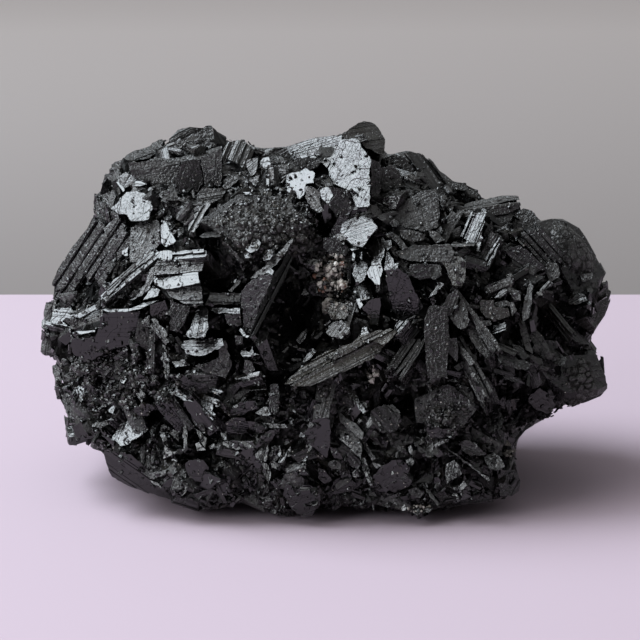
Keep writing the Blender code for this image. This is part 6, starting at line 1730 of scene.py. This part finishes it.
def seen_at(u, v, trees):
    """The surface that the drawing shows at (u, v) and the way that it faces, or nothing."""
    start = placed(u, v, -90.0)
    way = (placed(u, v, 0.0) - start).normalized()
    hits = [tree.ray_cast(start, way) for tree in trees]
    hits = [hit for hit in hits if hit[0] is not None]
    return min(hits, key=lambda hit: hit[3])[:2] if hits else (None, None)


def in_patch(zone, rng):
    """A place in a patch of the front, and a size between the patch's least and most, more often small."""
    turn, out = rng.uniform(0, 2 * math.pi), math.sqrt(rng.random())
    u = zone.u + math.cos(turn) * out * zone.width / 2
    v = zone.v + math.sin(turn) * out * zone.height / 2
    return u, v, zone.least + (zone.most - zone.least) * rng.random() ** 2


def jittered(way, play, rng):
    return way + Vector([rng.gauss(0, play) for _ in range(3)])


def grains(rng, trees, pile):
    """Crumbs and grains on what the front shows."""
    for zone in GRAIN_ZONES:
        for _ in range(zone.count):
            u, v, size = in_patch(zone, rng)
            shape = [rng.uniform(0.7, 1.3) for _ in range(12)]
            squash = [rng.uniform(0.6, 1.3) for _ in range(3)]
            spin = Matrix.Rotation(rng.uniform(0, 6.28), 3, Vector([rng.gauss(0, 1) for _ in range(3)]))
            tone = rng.choice(zone.tones)
            if not inside_outline(placed(u, v, 0.0), PATCH_MARGIN):
                continue
            spot, way = seen_at(u, v, trees)
            if spot is None or spot.z < size * MM:
                continue
            points = GRAIN_POINTS * np.array(shape)[:, None] * np.array(squash) * size / 2
            points = points @ np.array(spin).T
            centre = np.array(spot + way * size * rng.uniform(-0.1, 0.3) * MM)
            pile.add(points * MM + centre, [], GRAIN_FACES, points, (tone, 0.1))


def glints(rng, trees, pile):
    """Small crystals on what the front shows, with a face turned to the light."""
    for zone in GLINT_ZONES:
        for _ in range(zone.count):
            u, v, length = in_patch(zone, rng)
            width = length * rng.uniform(0.25, 0.9)
            axis = Vector([rng.gauss(0, 1) for _ in range(3)])
            low = v < LOW_GLINTS and rng.random() < LOW_GLINT_SHARE
            face = jittered(Vector(LOW_SHINE if low else SHINE).normalized(), GLINT_TURN, rng)
            if not inside_outline(placed(u, v, 0.0), PATCH_MARGIN):
                continue
            spot, _ = seen_at(u, v, trees)
            if spot is None or spot.z < length * MM:
                continue
            matrix = Matrix.Translation(spot) @ frame_of(axis, face.normalized())
            plate(matrix, length, width, rng, pile)


def plate(matrix, length, width, rng, pile):
    """A chip with one flat face."""
    sides = rng.choice((4, 5, 6))
    turns = [(k + rng.uniform(-0.35, 0.35)) / sides * 2 * math.pi for k in range(sides)]
    face = np.array([(math.cos(t) * width / 2, PLATE_RISE, math.sin(t) * length / 2) for t in turns])
    foot = face * (0.7, 1.0, 0.7) - (0, width, 0)
    points = np.concatenate([face, foot, [[0, PLATE_RISE, 0], [0, -width, 0]]])
    tris = np.concatenate([fan(0, 2 * sides, sides, turned=True), fan(sides, 2 * sides + 1, sides)])
    grain = points + rng.uniform(0, 500)
    look = (0.0, rng.choice((0.0, 0.3)))
    pile.add(moved(points, matrix), wall(0, sides, sides), tris, grain, look)


def back_crystals(rng, pile):
    for matrix, length, width, depth in scattered(random.Random(SCATTER_SEED)):
        section = block_section(width, depth, rng)
        look = (darkness(rng, 0.3), rng.uniform(0.0, 0.8))
        crystal(matrix, length, section, rng, pile, look, strip=BACK_STRIP, chips=(4, 8))


def footprint(prism):
    """A crystal's face in the drawing: its middle, its long axis and its half sizes."""
    turn = math.radians(prism.angle)
    return prism.u, prism.v, math.cos(turn), math.sin(turn), prism.length / 2, prism.width / 2


PRINTS = np.array([footprint(prism) for prism in LYING])


def covered(u, v):
    """Whether (u, v) falls on one of the listed faces."""
    middle_u, middle_v, cos, sin, half_length, half_width = PRINTS.T
    du, dv = u - middle_u, v - middle_v
    along, across = np.abs(du * cos + dv * sin), np.abs(-du * sin + dv * cos)
    inside = (along < half_length - FOOTPRINT_SLACK) & (across < half_width - FOOTPRINT_SLACK)
    return bool(np.any(inside)) or under_facet(u, v)


def shards(rng, count, tilts, sizes, lifts, pile):
    """Small crystals over the body, leaning as their neighbours do; returns how many found room."""
    low, high = sizes
    made, tries = 0, 0
    while made < count and tries < count * SHARD_TRIES:
        tries += 1
        angle = rng.uniform(-math.pi, math.pi)
        tilt = math.asin(rng.uniform(*tilts))
        spot, outward = body_point(angle, tilt), outward_at(angle, tilt)
        if spot.z < LOWEST_SHARD * MM or (tilt < 0 and covered(*drawn(spot))):
            continue
        axis = jittered(Vector(noise.noise_vector(spot / MM / KINSHIP_SIZE)) * KINSHIP, 0.3, rng)
        axis = (axis - outward * axis.dot(outward) * rng.uniform(0.2, 1.0)).normalized()
        length = low + (high - low) * rng.random() ** 1.7
        width = length * rng.uniform(0.25, 0.8)
        depth = width * rng.uniform(0.5, 1.1)
        face = jittered(outward, SHARD_TURN, rng).normalized()
        if tilt < 0 and rng.random() < GLINT_SHARE * (1.0 - spot.x / GLINT_FADE):
            face = jittered(Vector(SHINE).normalized(), 0.12, rng).normalized()
        lift = rng.uniform(*lifts) - pocket(spot) * rng.uniform(0.5, 1.0)
        matrix = Matrix.Translation(spot + outward * lift * MM) @ frame_of(axis, face)
        corners = corners_of(matrix, length, width, depth)
        if min(c.z for c in corners) < 0 or not all(inside_outline(c, 0.0) for c in corners):
            continue
        # painted shade: a crystal sunk deeper than 0.3 mm gets a value over 1, which darkens it and cuts
        # its reflection
        sunk = min(1.0, max(0.0, -0.3 - lift) / 1.5)
        look = (darkness(rng, 0.3), rng.random() ** 3 * 0.8 * (1 - sunk) + (sunk > 0) * (1 + sunk))
        shard(matrix, length, width, depth, rng, pile, look)
        made += 1
    return made


def core(pile):
    """The dark mass between the crystals, crumbled all over; all of it carries painted shade, with its
    reflection, film and dust cut.
    """
    ends = -math.pi / 2, math.pi / 2
    rows = []
    for ring in range(1, CORE_RINGS):
        tilt = ends[0] + math.pi * ring / CORE_RINGS
        turns = (2 * math.pi * k / CORE_SEGMENTS - math.pi for k in range(CORE_SEGMENTS))
        rows += [body_point(angle, tilt) for angle in turns]
    points = np.array(rows + [body_point(0.0, ends[0] + 1e-4), body_point(0.0, ends[1] - 1e-4)])
    middle = np.array(placed(BODY_CENTRE[0], BODY_CENTRE[1], 0.0))
    for row in points:
        spot = Vector(row) / MM
        rough = CORE_SINK + pocket(Vector(row))
        for height, size, shift in CORE_CRUMBS:
            rough += height * noise.cell(spot / size + Vector(shift))
        row += (middle - row) / np.linalg.norm(middle - row) * rough * MM
    last = CORE_SEGMENTS * (CORE_RINGS - 2)
    quads = [wall(r, r + CORE_SEGMENTS, CORE_SEGMENTS) for r in range(0, last, CORE_SEGMENTS)]
    tris = [
        fan(0, len(points) - 2, CORE_SEGMENTS, turned=True),
        fan(last, len(points) - 1, CORE_SEGMENTS),
    ]
    # painted shade: 2.0 marks the whole mass as deep in a gap, so it reflects almost nothing
    pile.add(points, np.concatenate(quads), np.concatenate(tris), points / MM, (0.0, 2.0))


def small_crystals(material):
    """The small crystals of the front and of the back, in two objects."""
    noise.seed_set(NOISE_SEED)
    rng = random.Random(SHARD_SEED)
    made = []
    for name, tilts, batches in (("front", (-1.0, 0.0), FRONT_SHARDS), ("back", (0.0, 1.0), BACK_SHARDS)):
        pile = Pile()
        for count, sizes, lifts in batches:
            print(name, shards(rng, count, tilts, sizes, lifts, pile), "of", count)
        made.append(pile.to_object(f"small_crystals_{name}", material))
    return made


def specimen():
    material = tourmaline()
    mass, backs, crumbs, bright = (Pile() for _ in range(4))
    fronts = [Pile() for _ in range(FRONT_PILES)]
    core(mass)
    shown = [mass.to_object("dark_mass", material)]
    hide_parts(NODE)
    rng = random.Random(CRYSTAL_SEED)
    front_crystals(rng, random.Random(FACET_SEED), fronts)
    for number, pile in enumerate(fronts):
        shown.append(pile.to_object(f"front_crystals_{number + 1}", material))
    back_crystals(rng, backs)
    backs.to_object("side_and_back_crystals", material)
    shown += small_crystals(material)
    depsgraph = bpy.context.evaluated_depsgraph_get()
    trees = [BVHTree.FromObject(obj, depsgraph) for obj in shown]
    grains(random.Random(GRAIN_SEED), trees, crumbs)
    crumbs.to_object("grains", material)
    glints(random.Random(GLINT_SEED), trees, bright)
    bright.to_object("small_bright_crystals", material)


# ---------------------------------------------------------------- the studio
CLOTH = (0.409, 0.334, 0.385, 1.0)
TABLE_NEAR, TABLE_FAR = (0.163, 0.147, 0.142, 1.0), (0.348, 0.316, 0.307, 1.0)
TABLE_FADE = (0.15, 0.85)  # metres behind the specimen between which the table turns paler
DULL, FAINT_SHINE = 0.9, 0.1
FLOOR = -0.0002  # just under the part, so that the two do not share a plane
FLOOR_END, FAR = 0.185, 3.0
ROOM_LIGHTEST, ROOM_DIM, ROOM_LIGHT = (0.2, -0.2, 0.95), 0.02, 0.40
ROOM_COLOUR = (0.98, 0.99, 1.0, 1.0)
GLOW, GLOW_REACH = 3.0, 62.0  # the room's brightness round the key light, and how far round it, in degrees
WALL_START, WALL_FULL, WALL_LIGHT = 0.1, 0.3, 0.40  # the pale wall behind the table
LIGHTS_AIM = Vector((0.0, 0.0, 0.035))
Light = namedtuple("Light", "name direction distance size power colour")
LIGHTS = (
    Light("key", (-0.626, 0.104, 0.782), 1.0, 0.80, 16.6, (0.83, 0.92, 1.0)),
    Light("fill", (-0.72, -0.62, 0.30), 1.0, 0.40, 3.8, (0.92, 0.96, 1.0)),
)
NEAREST_SHOWN = 0.05


def dull_material(name):
    material, tree, shader = new_material(name)
    shader.inputs["Roughness"].default_value = DULL
    shader.inputs["Specular IOR Level"].default_value = FAINT_SHINE
    return material, tree, shader.inputs["Base Color"]


def cloth_material():
    material, _, colour = dull_material("cloth_lilac")
    colour.default_value = CLOTH
    return material


def table_material():
    """Grey that turns paler with distance."""
    material, tree, colour = dull_material("table_grey")
    parts = tree.nodes.new("ShaderNodeSeparateXYZ")
    tree.links.new(tree.nodes.new("ShaderNodeTexCoord").outputs["Object"], parts.inputs[0])
    share = spread(tree, parts.outputs["Y"], TABLE_FADE[0], TABLE_FADE[1], 0.0, 1.0)
    tree.links.new(blended(tree, share, TABLE_NEAR, TABLE_FAR), colour)
    return material


def sheet(name, front, back, material):
    """A level sheet from y = front to y = back, just under the part."""
    corners = [(-FAR, front, FLOOR), (FAR, front, FLOOR), (FAR, back, FLOOR), (-FAR, back, FLOOR)]
    mesh = bpy.data.meshes.new(name)
    mesh.from_pydata(corners, [], [(0, 1, 2, 3)])
    mesh.materials.append(material)
    obj = bpy.data.objects.new(name, mesh)
    bpy.context.scene.collection.objects.link(obj)
    obj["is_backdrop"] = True


def area_light(item):
    light = bpy.data.lights.new(item.name, "AREA")
    light.shape = "SQUARE"
    light.size = item.size
    light.energy = item.power
    light.color = item.colour
    obj = bpy.data.objects.new(item.name, light)
    way = Vector(item.direction).normalized()
    obj.location = LIGHTS_AIM + way * item.distance
    obj.rotation_euler = way.to_track_quat("Z", "Y").to_euler()
    bpy.context.scene.collection.objects.link(obj)


def facing(tree, way, direction):
    """How nearly a view's way is the direction, from -1 to 1."""
    made = tree.nodes.new("ShaderNodeVectorMath")
    made.operation = "DOT_PRODUCT"
    tree.links.new(way, made.inputs[0])
    made.inputs[1].default_value = Vector(direction).normalized()
    return made.outputs["Value"]


def room():
    """A dim room, lighter overhead and round the key light, with a pale wall behind the table."""
    world = bpy.data.worlds.new("studio")
    bpy.context.scene.world = world
    world.use_nodes = True
    tree = world.node_tree
    way = tree.nodes.new("ShaderNodeTexCoord").outputs["Generated"]
    glow_edge = math.cos(math.radians(GLOW_REACH))
    glow = spread(tree, facing(tree, way, LIGHTS[0].direction), glow_edge, 1.0, 0.0, 1.0)
    glow = times(tree, times(tree, glow, glow), GLOW)
    overhead = spread(tree, facing(tree, way, ROOM_LIGHTEST), -0.2, 1.0, ROOM_DIM, ROOM_LIGHT)
    parts = tree.nodes.new("ShaderNodeSeparateXYZ")
    tree.links.new(way, parts.inputs[0])
    in_room = spread(tree, parts.outputs["Y"], WALL_START, WALL_FULL, 1.0, 0.0)
    wall_light = spread(tree, parts.outputs["Y"], WALL_START, WALL_FULL, 0.0, WALL_LIGHT)
    level = plus(tree, times(tree, plus(tree, glow, overhead), in_room), wall_light)
    background = tree.nodes["Background"]
    background.inputs["Color"].default_value = ROOM_COLOUR
    tree.links.new(level, background.inputs["Strength"])


def studio():
    sheet("floor", -FAR, FLOOR_END, cloth_material())
    sheet("table", FLOOR_END, FAR, table_material())
    for item in LIGHTS:
        area_light(item)
    room()
    bpy.context.scene.view_settings.view_transform = "Standard"


def camera():
    data = bpy.data.cameras.new("camera")
    data.sensor_width = SENSOR
    data.lens = SENSOR * EYE_DISTANCE / VIEW_WIDTH
    data.clip_start = NEAREST_SHOWN
    obj = bpy.data.objects.new("camera", data)
    obj.location = EYE
    obj.rotation_euler = Matrix((AXIS_U, AXIS_V, -AXIS_W)).transposed().to_euler()
    bpy.context.scene.collection.objects.link(obj)
    bpy.context.scene.camera = obj


specimen()
studio()
camera()


def corners(box):
    return [list(corner) for corner in box]


{"cad_box": corners(CAD_BOX), "visual_box": corners(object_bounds())}
